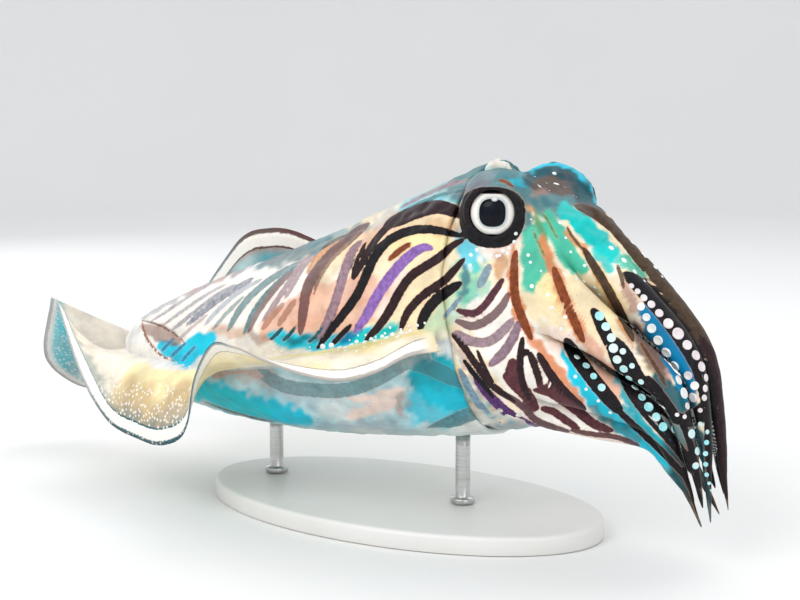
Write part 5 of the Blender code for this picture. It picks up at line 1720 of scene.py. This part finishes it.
def stand_finish():
    """Satin off-white lacquer with a very slight orange-peel texture and faint tone."""
    finish, tree, shader = new_finish("stand lacquer", coat_weight=0.25, coat_roughness=0.22, ior=1.48)
    place = object_place(tree)
    tone = spread(tree, noise(tree, place, LACQUER_TONES), 0.0, 1.0)
    peel = noise(tree, place, LACQUER_PEEL, 2.0)
    dress(tree, shader, mix_colour(tree, tone, *LACQUER), spread(tree, peel, 0.38, 0.46), peel, 0.08, 0.0002)
    return finish


def rod_finish():
    """Brushed steel: metal with fine rings of brushing round the rod and slightly varied roughness."""
    finish, tree, shader = new_finish("brushed steel", metallic=1.0, ior=1.45)
    stretched = node(tree, "ShaderNodeMapping", {"Vector": object_place(tree), "Scale": BRUSHING})
    brushing = noise(tree, stretched.outputs["Vector"], 1.0)
    colour = mix_colour(tree, spread(tree, brushing, 0.0, 1.0), *STEEL)
    dress(tree, shader, colour, spread(tree, brushing, 0.26, 0.42), brushing, 0.12, 0.0001)
    return finish


def paper_finish(name, colour):
    """Matt pale studio surface with faint tone."""
    finish, tree, shader = new_finish(name, roughness=0.85)
    tone = spread(tree, noise(tree, object_place(tree), PAPER_TONES, 2.0), 0.985, 1.0)
    dress(tree, shader, shaded(tree, colour, tone))
    return finish


# Panel settings
class CuttlefishColours(bpy.types.PropertyGroup):
    """Colours of the animal's markings."""


for _key, (_label, _code) in PALETTE.items():
    CuttlefishColours.__annotations__[_key] = FloatVectorProperty(
        name=_label, description=f"{_label} of the markings", subtype="COLOR", size=3, min=0.0, max=1.0,
        default=linear(_code))


class CuttlefishSizes(bpy.types.PropertyGroup):
    """Sizes and counts that a user would change."""
    skin_rows: IntProperty(
        name="Mantle rings", description="Rings of the mantle's skin from tail to rim", default=300,
        min=60, max=400)
    head_columns: IntProperty(
        name="Columns per arm", description="Columns of the head's skin for each arm", default=40,
        min=10, max=44)
    relief: FloatProperty(
        name="Skin relief", description="Height of the skin's small folds", default=0.00022,
        min=0.0, max=0.001, subtype="DISTANCE", unit="LENGTH")
    spot_radius: FloatProperty(
        name="White spot radius", description="Radius of the largest white spots", default=0.0014,
        min=0.0003, max=0.003, subtype="DISTANCE", unit="LENGTH")
    camera_distance: FloatProperty(
        name="Camera distance", description="Distance from the camera to its aim", default=CAMERA_DISTANCE,
        min=0.3, max=3.0, subtype="DISTANCE", unit="LENGTH")
    camera_lens: FloatProperty(
        name="Camera lens", description="Focal length", default=CAMERA_LENS,
        min=20.0, max=200.0, subtype="DISTANCE_CAMERA")


# Relief of the skin: sizes of its folds in metres
LARGE_FOLDS = 0.012
SMALL_FOLDS = 0.005
SMALL_FOLD_SHARE = 0.6
FIN_RELIEF_SHARE = 0.25

# Mesh counts of the skins
BACK_COLUMNS = 140
FIN_COLUMNS = 20
BELLY_COLUMNS = 80
HEAD_ROWS = 46
GROOVE_ROWS = 18
ARM_ROWS = 160


def sizes():
    """The sizes as set in the panel."""
    return bpy.context.scene.cuttlefish_sizes


def add_relief(piece, points, on_fins, seed):
    """Moves a skin's points along their normals by smooth noise of two sizes, less on the thin fins."""
    amount = wobble(points, LARGE_FOLDS, seed) + SMALL_FOLD_SHARE * wobble(points, SMALL_FOLDS, seed + 1)
    push_along_normals(piece, amount * sizes().relief * np.where(on_fins, FIN_RELIEF_SHARE, 1.0))


class CUTTLEFISH_OT_mantle(bpy.types.Operator):
    """Build the mantle and both fins as one skin."""
    bl_idname = "cuttlefish.mantle"
    bl_label = "Mantle and fins"

    def execute(self, context):
        points, quads, triangles, places = mantle_grid(
            sizes().skin_rows, BACK_COLUMNS, FIN_COLUMNS, BELLY_COLUMNS)
        skin = make_piece("mantle_skin", points, quads, triangles, skin_finish("mantle skin", True))
        add_relief(skin, points, places[:, 2] > 0, 21)
        set_fields(skin, mantle_colours(*vertex_arrays(skin), places))
        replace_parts(skin, "mantle", *solids_named("fin_"))
        return {"FINISHED"}


def solids_named(start):
    """Names of the solids that start with these letters."""
    return [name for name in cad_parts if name.startswith(start)]


def push_along_normals(piece, amounts):
    """Moves each vertex of a piece along its normal."""
    points, normals = vertex_arrays(piece)
    points += normals * amounts[:, None]
    piece.data.vertices.foreach_set("co", points.astype(np.float32).ravel())
    piece.data.update()


class CUTTLEFISH_OT_head(bpy.types.Operator):
    """Build the head and the eight arms as one skin."""
    bl_idname = "cuttlefish.head"
    bl_label = "Head and arms"

    def execute(self, context):
        columns = sizes().head_columns
        points, quads, triangles, places = head_grid(
            columns, 2 * (columns // 5), HEAD_ROWS, GROOVE_ROWS, ARM_ROWS)
        points = shaped_head(points, places)
        skin = make_piece("head_skin", points, quads, triangles, skin_finish("head skin"))
        add_relief(skin, points, places[:, 2] > 0, 31)
        set_fields(skin, head_colours(*vertex_arrays(skin), places))
        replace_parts(skin, "head", *solids_named("arm_"))
        return {"FINISHED"}


# Lids: angle from the eye's axis in degrees and radius, then distance from the axis and height, in mm
LID_OUTSIDE = ((46.0, 21.2), (43.0, 21.95), (39.0, 22.45), (35.5, 22.65), (33.0, 22.3))
LID_INSIDE = (
    (11.5, 18.4), (11.35, 17.6), (11.5, 16.8), (11.9, 15.9), (12.8, 14.3), (14.0, 13.2), (15.2, 14.6))
LID_COLUMNS = 112
LID_WRINKLES = ((0.00012, 17.0, 1.0), (0.0001, 29.0, 0.0))
LID_INSIDE_REACH = 0.0119
LID_TUCK = 0.0004
LID_RISE = 0.0006
# A place on the head, as head_grid gives it
HEAD_ITSELF = (0.01, 0.0, 0.0, 0.0, 0.0)


def lid_grid(side):
    """A closed ring round the eye: its section is swept round the eye's axis, thicker above."""
    axis, up, ahead = eye_frame(side)
    outside = [(radius * math.sin(math.radians(theta)), radius * math.cos(math.radians(theta)))
               for theta, radius in LID_OUTSIDE]
    section = np.array(outside + list(LID_INSIDE)) / 1000.0
    turn = full_turn(LID_COLUMNS)
    above = smooth_step(np.cos(turn))[None]
    wrinkle = sum(height * np.sin(count * turn + start) for height, count, start in LID_WRINKLES)
    out = section[:, :1] - np.where(section[:, :1] < LID_INSIDE_REACH, LID_TUCK, 0.0) * above
    high = section[:, 1:] + (LID_RISE * above + wrinkle)
    way = np.cos(turn)[None, :, None] * up + np.sin(turn)[None, :, None] * ahead
    points = dome_centre(side) + out[..., None] * way + high[..., None] * axis
    index = np.arange(points[..., 0].size).reshape(points.shape[:2])
    loop = np.concatenate([index, index[:1]])
    return points.reshape(-1, 3), sheet_faces(loop, closed=True)


class CUTTLEFISH_OT_lids(bpy.types.Operator):
    """Build the fleshy ring round each eye."""
    bl_idname = "cuttlefish.lids"
    bl_label = "Eyelids"

    def execute(self, context):
        for side, word in SIDES:
            points, quads = lid_grid(side)
            lid = make_piece(f"lid_{word}", points, quads, [], skin_finish(f"lid skin {word}"))
            set_fields(lid, head_colours(*vertex_arrays(lid), np.tile(HEAD_ITSELF, (len(points), 1))))
        return {"FINISHED"}


# Eyeballs: mesh counts, then sizes and places on the eye's face in mm
EYE_COLUMNS = 144
EYE_RINGS = 110
PUPIL_HALF = (6.5, 6.8)
PUPIL_CENTRE = (-0.5, 0.0)
IRIS_RADIUS = 10.6
IRIS_TOP = 8.9
IRIS_BOTTOM = 10.2
PUPIL_NOTCH = (-1.0, 1.3, 1.7)
PUPIL_MIDDLE = -5.0
PUPIL_RING = (1.4, -1.0)
# Painted shade of the iris: full within 7 mm of the middle, gone at 10 mm
IRIS_SHADE = (10.0, -3.0)
IRIS_RIM = 0.35
IRIS_SHADE_TURN = 2.2
THREAD_ROUND = 2.2
THREAD_OUT = 0.08
PUPIL_POWER = 2.6
PUPIL_SCALE = 6.0
NOTCH_SCALE = 2.2
# How far the pupil sinks, in metres, and over how many mm from its edge
PUPIL_SINK = 0.0007
PUPIL_SLOPE = 0.8
EYE_CROWDING = 1.5
EYE_FACE = 1.2


def eye_grid(side):
    """The eyeball as rings about its axis, with the distance to the pupil's edge, and places, in mm.

    The pupil is a rounded square with a lobe of the iris hanging into it from above; inside it the
    surface sinks a little, so that its edge shows depth.
    """
    axis, up, ahead = eye_frame(side)
    theta = np.pi * (np.arange(1, EYE_RINGS) / EYE_RINGS) ** EYE_CROWDING
    theta, turn = np.meshgrid(theta, full_turn(EYE_COLUMNS), indexing="ij")
    across = EYE_RADIUS * np.sin(theta) * np.sin(turn) * 1000.0
    high = EYE_RADIUS * np.sin(theta) * np.cos(turn) * 1000.0
    x = (across - PUPIL_CENTRE[0]) / PUPIL_HALF[0]
    z = (high - PUPIL_CENTRE[1]) / PUPIL_HALF[1]
    body = (np.abs(x) ** PUPIL_POWER + np.abs(z) ** PUPIL_POWER) ** (1 / PUPIL_POWER)
    body = (body - 1.0) * PUPIL_SCALE
    lobe_x = (across - PUPIL_CENTRE[0] - PUPIL_NOTCH[0]) / PUPIL_NOTCH[2]
    lobe_z = (high - (PUPIL_CENTRE[1] + PUPIL_HALF[1])) / PUPIL_NOTCH[1]
    lobe = (1.0 - np.hypot(lobe_x, lobe_z)) * NOTCH_SCALE
    pupil = np.where(theta > EYE_FACE, NO_MARK, np.maximum(body, lobe))
    reach = EYE_RADIUS - PUPIL_SINK * smooth_step(-pupil / PUPIL_SLOPE)
    points = reach[..., None] * (np.cos(theta)[..., None] * axis + np.sin(theta)[..., None] * (
        np.cos(turn)[..., None] * up + np.sin(turn)[..., None] * ahead))
    centre = dome_centre(side) + axis * EYE_OFFSET
    form = closed_form(centre + points, centre + axis * (EYE_RADIUS - PUPIL_SINK), centre - axis * EYE_RADIUS)
    pupil = np.append(pupil, (PUPIL_MIDDLE, NO_MARK))
    return *form, pupil, np.append(across, (0.0, 0.0)), np.append(high, (0.0, 0.0))


def eye_colours(pupil, across, high):
    """A white iris with painted shade, greyer on one side and whiter on the other, with a black rim and a
    slate ring round the pupil.
    """
    out, turn = np.hypot(across, high), np.arctan2(across, high)
    # Painted shade: grey on one side of the iris, none on the other, fading out towards the rim
    grey = 0.30 * np.sin(turn + IRIS_SHADE_TURN) * ramp(out, *IRIS_SHADE)
    tone = blend(np.broadcast_to(palette("white"), (len(out), 3)), palette("grey"), 0.05 + grey)
    outside = np.maximum(np.maximum(out - IRIS_RADIUS, high - IRIS_TOP), -high - IRIS_BOTTOM)
    tone = blend(tone, palette("black"), smooth_step(outside / IRIS_RIM))
    tone = blend(tone, palette("slate"), ramp(np.abs(pupil), *PUPIL_RING) * 0.45)
    threads = np.column_stack([np.sin(turn) * THREAD_ROUND, np.cos(turn) * THREAD_ROUND, out * THREAD_OUT])
    return {"ground": opaque(tone), "pupil": pupil, "iris_place": threads}


class CUTTLEFISH_OT_eyes(bpy.types.Operator):
    """Build both eyeballs with iris and pupil."""
    bl_idname = "cuttlefish.eyes"
    bl_label = "Eyes"

    def execute(self, context):
        finish = eye_finish()
        for side, word in SIDES:
            points, quads, triangles, pupil, across, high = eye_grid(side)
            ball = make_piece(f"eyeball_{word}", points, quads, triangles, finish, slot="eye")
            set_fields(ball, eye_colours(pupil, across, high))
            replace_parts(ball, f"eye_{word}")
        return {"FINISHED"}


# Brow papilla: sizes and place in metres, then its lobes and mesh counts
BROW_LENGTH = 0.0135
BROW_HEIGHT = 0.0058
BROW_THICKNESS = 0.0046
BROW_RELIEF = 0.00012
BROW_PLACE = (0.0757, 0.0285, 0.1915)
BROW_ROOT = 0.0020
BROW_SAG = 0.0016
BROW_LOBES = 8.5
BROW_FRILLS = 19.0
BROW_FOLDS = 0.0036
BROW_RINGS = 57
BROW_COLUMNS = 40


def brow_grid(side):
    """A lobed flap over the eye: closed oval sections swept along it, tall in the middle, flared on top."""
    u, t = np.meshgrid(np.linspace(-1.0, 1.0, BROW_RINGS), full_turn(BROW_COLUMNS), indexing="ij")
    arch = np.sqrt(np.clip(1.0 - np.abs(u) ** 3.0, 0.0, 1.0))
    lobe = np.cos(u * BROW_LOBES + 0.5)
    level = 0.5 + 0.5 * np.cos(t)
    height = BROW_HEIGHT * arch * (1.0 + 0.08 * lobe + 0.05 * np.sin(u * BROW_FRILLS))
    flare = 0.55 + 0.45 * smooth_step(level * 1.2) + 0.16 * lobe * level
    across = 0.5 * BROW_THICKNESS * np.sqrt(arch) * flare * signed_power(np.sin(t), 0.8)
    lean = 0.0010 * level * arch + 0.0006 * np.sin(u * 5.0)
    x = BROW_PLACE[0] + 0.5 * BROW_LENGTH * u * (1.0 + 0.06 * level)
    y = side * (BROW_PLACE[1] + across + lean)
    z = BROW_PLACE[2] + (height + BROW_ROOT) * level - BROW_ROOT - BROW_SAG * u ** 2
    points = np.stack([x, y, z], -1)
    return closed_form(points, points[0].mean(axis=0), points[-1].mean(axis=0))


class CUTTLEFISH_OT_brows(bpy.types.Operator):
    """Build the pale lobed skin flap above the right eye."""
    bl_idname = "cuttlefish.brows"
    bl_label = "Brow papilla"

    def execute(self, context):
        form = brow_grid(-1.0)
        piece = make_piece("brow_papilla", *form, flesh_finish("brow flesh", *BROW_TONES, SUCKER_GRAIN))
        push_along_normals(piece, BROW_RELIEF * wobble(form[0], BROW_FOLDS, 51))
        return {"FINISHED"}


def skin_tree(name):
    """A search tree of a piece's surface."""
    piece = bpy.data.objects[name]
    return BVHTree.FromObject(piece, bpy.context.evaluated_depsgraph_get())


def scattered_piece(name, template, faces, groups, finish):
    """One piece of many copies of a small form, from groups of points, normals, directions and radii."""
    sets, quads, triangles, count = [], [], [], 0
    for points, normals, along, radii in groups:
        placed, four, three = scatter(template, faces, points, normals, along, radii)
        sets.append(placed)
        quads.append(four + count)
        triangles.append(three + count)
        count += len(placed)
    return make_piece(name, *(np.concatenate(each) for each in (sets, quads, triangles)), finish)


def along_surface(normals):
    """A direction across each normal, towards the front."""
    return unit(np.cross(np.cross(normals, [0.3, 0.0, -1.0]), normals))


# Two linear colours of each kind of flesh, and how finely they alternate
BROW_TONES = ((0.66, 0.80, 0.74), (0.74, 0.68, 0.60))
SPOT_TONES = ((0.88, 0.88, 0.85), (0.80, 0.86, 0.86))
SUCKER_GRAIN = 90.0
SPOT_GRAIN = 400.0
FUNNEL_GRAIN = 120.0
SUCKER_TONES = {
    "white": ((0.88, 0.87, 0.84), (0.78, 0.82, 0.83)),
    "rosy": ((0.86, 0.80, 0.79), (0.74, 0.66, 0.68)),
    "aqua": ((0.72, 0.86, 0.84), (0.32, 0.76, 0.80)),
}


class CUTTLEFISH_OT_suckers(bpy.types.Operator):
    """Build the rows of suckers on every arm."""
    bl_idname = "cuttlefish.suckers"
    bl_label = "Suckers"

    def execute(self, context):
        tree = skin_tree("head_skin")
        template, faces = lathe_template(SUCKER_PROFILE, 12)
        chance = np.random.default_rng(81)
        for tone, colours in SUCKER_TONES.items():
            groups = []
            for side in (-1.0, 1.0):
                for row_tone, count, radii, knots in SHOWN_SUCKERS:
                    if row_tone != tone:
                        continue
                    places, discs = row_places(count, radii, knots)
                    places = places + chance.uniform(-0.5, 0.5, places.shape)
                    discs = discs * chance.uniform(0.86, 1.06, count)
                    points, normals, hit, scale = cast_on(tree, places, side)
                    keep = hit & (points[:, 0] > SHOWN_FROM_X)
                    if side > 0:
                        keep &= ~seen(tree, points, normals, (-1.0,))
                    points, normals, radii_here = points[keep], normals[keep], (discs * scale)[keep]
                    groups.append((points, normals, along_surface(normals), radii_here))
            scattered_piece(f"suckers_{tone}", template, faces, groups,
                            flesh_finish(f"{tone} suckers", *colours, SUCKER_GRAIN))
        template, faces = lathe_template(SUCKER_PROFILE, 9)
        groups = []
        for side in (-1.0, 1.0):
            for number in range(4):
                v, around, radii = inner_suckers(number)
                surface = arm_surface(side, number)
                points, normals, along = surface_frames(surface, v, np.radians(around))
                normals = outward(points, normals, 0.5 * (points + surface(v, np.radians(around) + np.pi)))
                hidden = ~seen(tree, points, normals)
                groups.append((points[hidden], normals[hidden], along[hidden], radii[hidden]))
        scattered_piece("suckers_inner", template, faces, groups,
                        flesh_finish("inner suckers", *SUCKER_TONES["white"], SUCKER_GRAIN))
        return {"FINISHED"}


# White dots of head and arms on the sheet: count, scatter, radii at start, middle and end, columns
# and rows of knots
HEAD_DOTS = (
    (9, 1.2, (2.8, 2.6, 2.4), (471, 256, 480, 248, 493, 257, 500, 251, 511, 245, 516, 234)),
    (5, 2.0, (2.5, 2.2, 1.9), (470, 264, 486, 260, 500, 256, 509, 253)),
    (2, 0.5, (2.8, 3.2, 3.8), (554, 173, 556, 184)),
    (4, 3.0, (1.0, 0.8, 0.7), (534, 177, 545, 182, 568, 190, 574, 196)),
    (2, 0.5, (1.2, 1.2, 1.4), (497, 184, 495, 189)),
    (2, 0.6, (1.4, 1.5, 1.5), (531, 220, 541, 271)),
    (2, 0.5, (2.3, 2.2, 2.1), (528, 255, 530, 262)),
    (5, 2.0, (2.8, 2.8, 2.4), (533, 287, 547, 293, 551, 308, 564, 316, 560, 330)),
    (4, 1.5, (2.0, 1.8, 2.2), (561, 222, 566, 234, 568, 244, 584, 264)),
    (4, 2.5, (2.2, 3.0, 2.4), (577, 278, 588, 284, 594, 290, 600, 296)),
    (4, 0.8, (3.8, 4.2, 2.2), (612, 248, 622, 258, 634, 270, 644, 281)),
)


# Large dots beside the fin's root, in rows of the same form, cast on the mantle and fin
ROOT_DOTS = (
    (9, 1.6, (4.2, 3.5, 3.2), (324, 346, 338, 347, 352, 345, 366, 342, 376, 339)),
    (9, 1.4, (3.0, 3.6, 2.8), (372, 341, 382, 338, 392, 336, 402, 334, 410, 332)),
    (7, 2.6, (2.0, 2.0, 1.6), (328, 352, 346, 351, 366, 348, 384, 344)),
    (10, 1.4, (1.6, 1.9, 1.6), (143, 332, 147, 342, 156, 351, 168, 359, 180, 364, 188, 366)),
)
# Rows that start at a smaller column on the sheet lie on the mantle
HEAD_COLUMN = 450
# Small dots over the fin's root: first, last and pace along the mantle in metres, angle in degrees
ROOT_ROW = (0.150, 0.246, 0.0050)
ROOT_ROW_ANGLE = 91.0
# The raised part of a white dot is this share of its painted radius
DOT_SHARE = 0.8


def fin_row(side, chance):
    """White dots along a fin's root: points, normals, a direction and radii."""
    s = np.arange(*ROOT_ROW)
    s = s + chance.uniform(-0.001, 0.001, len(s))
    angle = side * np.radians(ROOT_ROW_ANGLE + chance.uniform(-1.2, 1.2, len(s)))
    points, normals, along = surface_frames(mantle_point, s, angle)
    radii = 0.42 + 0.15 * np.sin(s * 90.0) + chance.uniform(-0.12, 0.12, len(s))
    centre = 0.5 * (points + mantle_point(s, angle + np.pi))
    return points, outward(points, normals, centre), along, sizes().spot_radius * np.clip(radii, 0.35, 1.0)


class CUTTLEFISH_OT_spots(bpy.types.Operator):
    """Build the raised white spots of fins, head and arms."""
    bl_idname = "cuttlefish.spots"
    bl_label = "White spots"

    def execute(self, context):
        template, faces = lathe_template(SPOT_PROFILE, 10)
        finish = flesh_finish("white spot", *SPOT_TONES, SPOT_GRAIN)
        trees = (skin_tree("head_skin"), skin_tree("mantle_skin"))
        chance = np.random.default_rng(61)
        for side, word in SIDES:
            groups = [fin_row(side, chance)]
            for count, spread, radii, knots in HEAD_DOTS + ROOT_DOTS:
                places, discs = row_places(count, radii, knots)
                places = places + chance.uniform(-spread, spread, places.shape)
                points, normals, hit, scale = cast_on(trees[knots[0] < HEAD_COLUMN], places, side)
                radii_here = DOT_SHARE * discs * scale
                groups.append((points[hit], normals[hit], along_surface(normals)[hit], radii_here[hit]))
            scattered_piece(f"spots_{word}", template, faces, groups, finish)
        return {"FINISHED"}


class CUTTLEFISH_OT_funnel(bpy.types.Operator):
    """Build the funnel under the head with its rolled lip and bore."""
    bl_idname = "cuttlefish.funnel"
    bl_label = "Funnel"

    def execute(self, context):
        length = FUNNEL_X_FRONT - FUNNEL_X_BACK
        outside = [(share, FUNNEL_RADIUS_BACK + (FUNNEL_RADIUS_FRONT - FUNNEL_RADIUS_BACK) * share
                    + FUNNEL_SWELL * math.sin(share * FUNNEL_WAVES)) for share in np.linspace(0.0, 0.96, 30)]
        lip = [(share, FUNNEL_RADIUS_FRONT + more) for share, more in FUNNEL_LIP]
        bore = [(1.0 - FUNNEL_BORE_DEPTH / length * share,
                 FUNNEL_BORE * (1.0 - FUNNEL_NARROWING * share ** 2)) for share in (0.3, 0.5, 0.7, 0.85, 1.0)]
        share, radius = np.array(outside + lip + bore).T[..., None]
        turn = full_turn(FUNNEL_COLUMNS)
        radius = radius * (1.0 + FUNNEL_FOLD * np.sin(FUNNEL_FOLDS * turn)[None] * smooth_step(share))
        x = np.broadcast_to(FUNNEL_X_BACK + length * share, radius.shape)
        points = np.stack([x, radius * np.sin(turn), FUNNEL_Z + radius * np.cos(turn)], -1)
        form = closed_form(points, [FUNNEL_X_BACK, 0.0, FUNNEL_Z],
                           [FUNNEL_X_FRONT - FUNNEL_BORE_DEPTH, 0.0, FUNNEL_Z])
        finish = flesh_finish("funnel flesh", palette("cream"), palette("mauve"), FUNNEL_GRAIN)
        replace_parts(make_piece("funnel_tube", *form, finish), "funnel")
        return {"FINISHED"}


# Stand
BASE_LENGTH = 0.240
BASE_WIDTH = 0.130
BASE_HEIGHT = 0.010
BASE_BEVEL = 0.0025
BASE_COLUMNS = 192
BASE_FOOT = ((0.0012, 0.0), (0.0004, 0.0003), (0.0, 0.0009))
ROD_RADIUS = 0.004
ROD_COLUMNS = 64
# Rows of the collar at a rod's foot: how much wider than the rod, and height
ROD_COLLAR = (
    (0.0, 0.0), (0.0, 0.0002), (0.0022, 0.0004), (0.0026, 0.0009), (0.0026, 0.0028), (0.0022, 0.0033),
    (0.0003, 0.0036), (0.0, 0.0040))


def revolve(rows, columns, centre=(0.0, 0.0)):
    """A closed form from rows of half length, half width and height about an upright axis."""
    return closed_form(oval_rings(rows, columns, centre), [*centre, rows[0][2]], [*centre, rows[-1][2]])


class CUTTLEFISH_OT_stand(bpy.types.Operator):
    """Build the oval base and finish the two support rods."""
    bl_idname = "cuttlefish.stand"
    bl_label = "Display stand"

    def execute(self, context):
        a, b, rows = 0.5 * BASE_LENGTH, 0.5 * BASE_WIDTH, []
        rows += [(0.5 * a, 0.5 * b, 0.0), *((a - inset, b - inset, up) for inset, up in BASE_FOOT)]
        for turn in np.radians(np.linspace(0.0, 90.0, 10)):
            inset = BASE_BEVEL * (1.0 - math.cos(turn))
            rows.append((a - inset, b - inset, BASE_HEIGHT - BASE_BEVEL * (1.0 - math.sin(turn))))
        rows += [(0.8 * a, 0.8 * b, BASE_HEIGHT), (0.4 * a, 0.4 * b, BASE_HEIGHT)]
        base = make_piece("base_plate", *revolve(rows, BASE_COLUMNS), stand_finish(), slot="stand")
        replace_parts(base, "stand_base")
        finish = rod_finish()
        for name in ("stand_rod_rear", "stand_rod_front"):
            low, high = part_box(name)
            centre = (0.5 * (low[0] + high[0]), 0.5 * (low[1] + high[1]))
            foot, top, r = low[2], high[2], ROD_RADIUS
            rows = [(r + more, r + more, foot + up) for more, up in ROD_COLLAR]
            start = foot + ROD_COLLAR[-1][1]
            rows += [(r, r, start + (top - start) * share) for share in (0.25, 0.5, 0.75, 1.0)]
            form = revolve(rows, ROD_COLUMNS, centre)
            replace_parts(make_piece(f"{name}_tube", *form, finish, slot="rod"), name)
        return {"FINISHED"}


# Stage, in metres; lights: name, place, size and power in watts
FLOOR_LEVEL = -0.0002
FLOOR_RINGS = (0.3, 0.8, 1.6, 2.2)
FLOOR_RADIUS = 3.0
COVE_RADIUS = 0.8
WALL_HEIGHT = 1.2
BACKDROP_COLUMNS = 96
LIGHTS = (
    ("key light", (-0.20, -1.15, 1.05), 0.9, 8.0),
    ("fill light", (1.25, -0.65, 0.75), 1.0, 4.0),
    ("top light", (0.15, 0.75, 1.35), 1.1, 5.0),
    ("rear light", (-1.25, 0.60, 0.70), 0.9, 3.0),
)
LIGHT_AIM = (0.0, 0.0, 0.11)
SKY_COLOUR = (0.95, 0.97, 1.0, 1.0)
SKY_STRENGTH = 0.85


class CUTTLEFISH_OT_stage(bpy.types.Operator):
    """Build the pale floor and round backdrop, the soft lights and the camera."""
    bl_idname = "cuttlefish.stage"
    bl_label = "Studio stage"

    def execute(self, context):
        rows = [(radius, radius, FLOOR_LEVEL) for radius in FLOOR_RINGS]
        for turn in np.radians(np.linspace(0.0, 90.0, 14)):
            radius = FLOOR_RADIUS - COVE_RADIUS + COVE_RADIUS * math.sin(turn)
            rows.append((radius, radius, COVE_RADIUS * (1.0 - math.cos(turn)) + FLOOR_LEVEL))
        rows.append((FLOOR_RADIUS, FLOOR_RADIUS, WALL_HEIGHT))
        rings = oval_rings(rows, BACKDROP_COLUMNS)
        index = np.arange(rings[..., 0].size).reshape(rings.shape[:2])
        points = np.concatenate([rings.reshape(-1, 3), [[0.0, 0.0, FLOOR_LEVEL]]])
        backdrop = make_mesh("backdrop", points, sheet_faces(index, closed=True),
                             fan_faces(index[0], index.size), paper_finish("studio paper", PAPER))
        if backdrop.data.polygons[-1].normal.z < 0.0:
            backdrop.data.flip_normals()
        world = bpy.data.worlds.new("studio")
        world.use_nodes = True
        sky = world.node_tree.nodes["Background"].inputs
        sky["Color"].default_value = SKY_COLOUR
        sky["Strength"].default_value = SKY_STRENGTH
        context.scene.world = world
        for name, place, size, power in LIGHTS:
            light = bpy.data.lights.new(name, "AREA")
            light.shape = "DISK"
            light.size = size
            light.energy = power
            lamp = bpy.data.objects.new(name, light)
            lamp.location = place
            lamp.rotation_euler = (Vector(LIGHT_AIM) - lamp.location).to_track_quat("-Z", "Y").to_euler()
            context.scene.collection.objects.link(lamp)
        lens = bpy.data.cameras.new("camera")
        lens.lens = sizes().camera_lens
        lens.sensor_width = CAMERA_SENSOR
        lens.clip_start = 0.02
        camera = bpy.data.objects.new("camera", lens)
        back = Vector(viewpoint(-1.0)[1])
        camera.location = Vector(CAMERA_AIM) + back * sizes().camera_distance
        camera.rotation_euler = (-back).to_track_quat("-Z", "Y").to_euler()
        context.scene.collection.objects.link(camera)
        context.scene.camera = camera
        context.scene.view_settings.view_transform = "Standard"
        return {"FINISHED"}


OPERATORS = (
    CUTTLEFISH_OT_mantle, CUTTLEFISH_OT_head, CUTTLEFISH_OT_lids, CUTTLEFISH_OT_eyes,
    CUTTLEFISH_OT_brows, CUTTLEFISH_OT_suckers, CUTTLEFISH_OT_spots, CUTTLEFISH_OT_funnel,
    CUTTLEFISH_OT_stand, CUTTLEFISH_OT_stage,
)


class CUTTLEFISH_PT_panel(bpy.types.Panel):
    """Settings and steps of the cuttlefish model."""
    bl_idname = "CUTTLEFISH_PT_panel"
    bl_label = "Cuttlefish"
    bl_space_type = "VIEW_3D"
    bl_region_type = "UI"
    bl_category = "Cuttlefish"

    def draw(self, context):
        for group in (context.scene.cuttlefish_sizes, context.scene.cuttlefish_colours):
            column = self.layout.column(align=True)
            for key in group.bl_rna.properties.keys():
                if key not in ("rna_type", "name"):
                    column.prop(group, key)
        for operator in OPERATORS:
            self.layout.operator(operator.bl_idname)


CLASSES = (CuttlefishColours, CuttlefishSizes, *OPERATORS, CUTTLEFISH_PT_panel)


def register():
    for each in CLASSES:
        bpy.utils.register_class(each)
    bpy.types.Scene.cuttlefish_colours = PointerProperty(type=CuttlefishColours)
    bpy.types.Scene.cuttlefish_sizes = PointerProperty(type=CuttlefishSizes)


def unregister():
    del bpy.types.Scene.cuttlefish_sizes
    del bpy.types.Scene.cuttlefish_colours
    for each in reversed(CLASSES):
        bpy.utils.unregister_class(each)


def main():
    register()
    for operator in OPERATORS:
        group, step = operator.bl_idname.split(".")
        getattr(getattr(bpy.ops, group), step)()


if __name__ == "__main__":
    main()
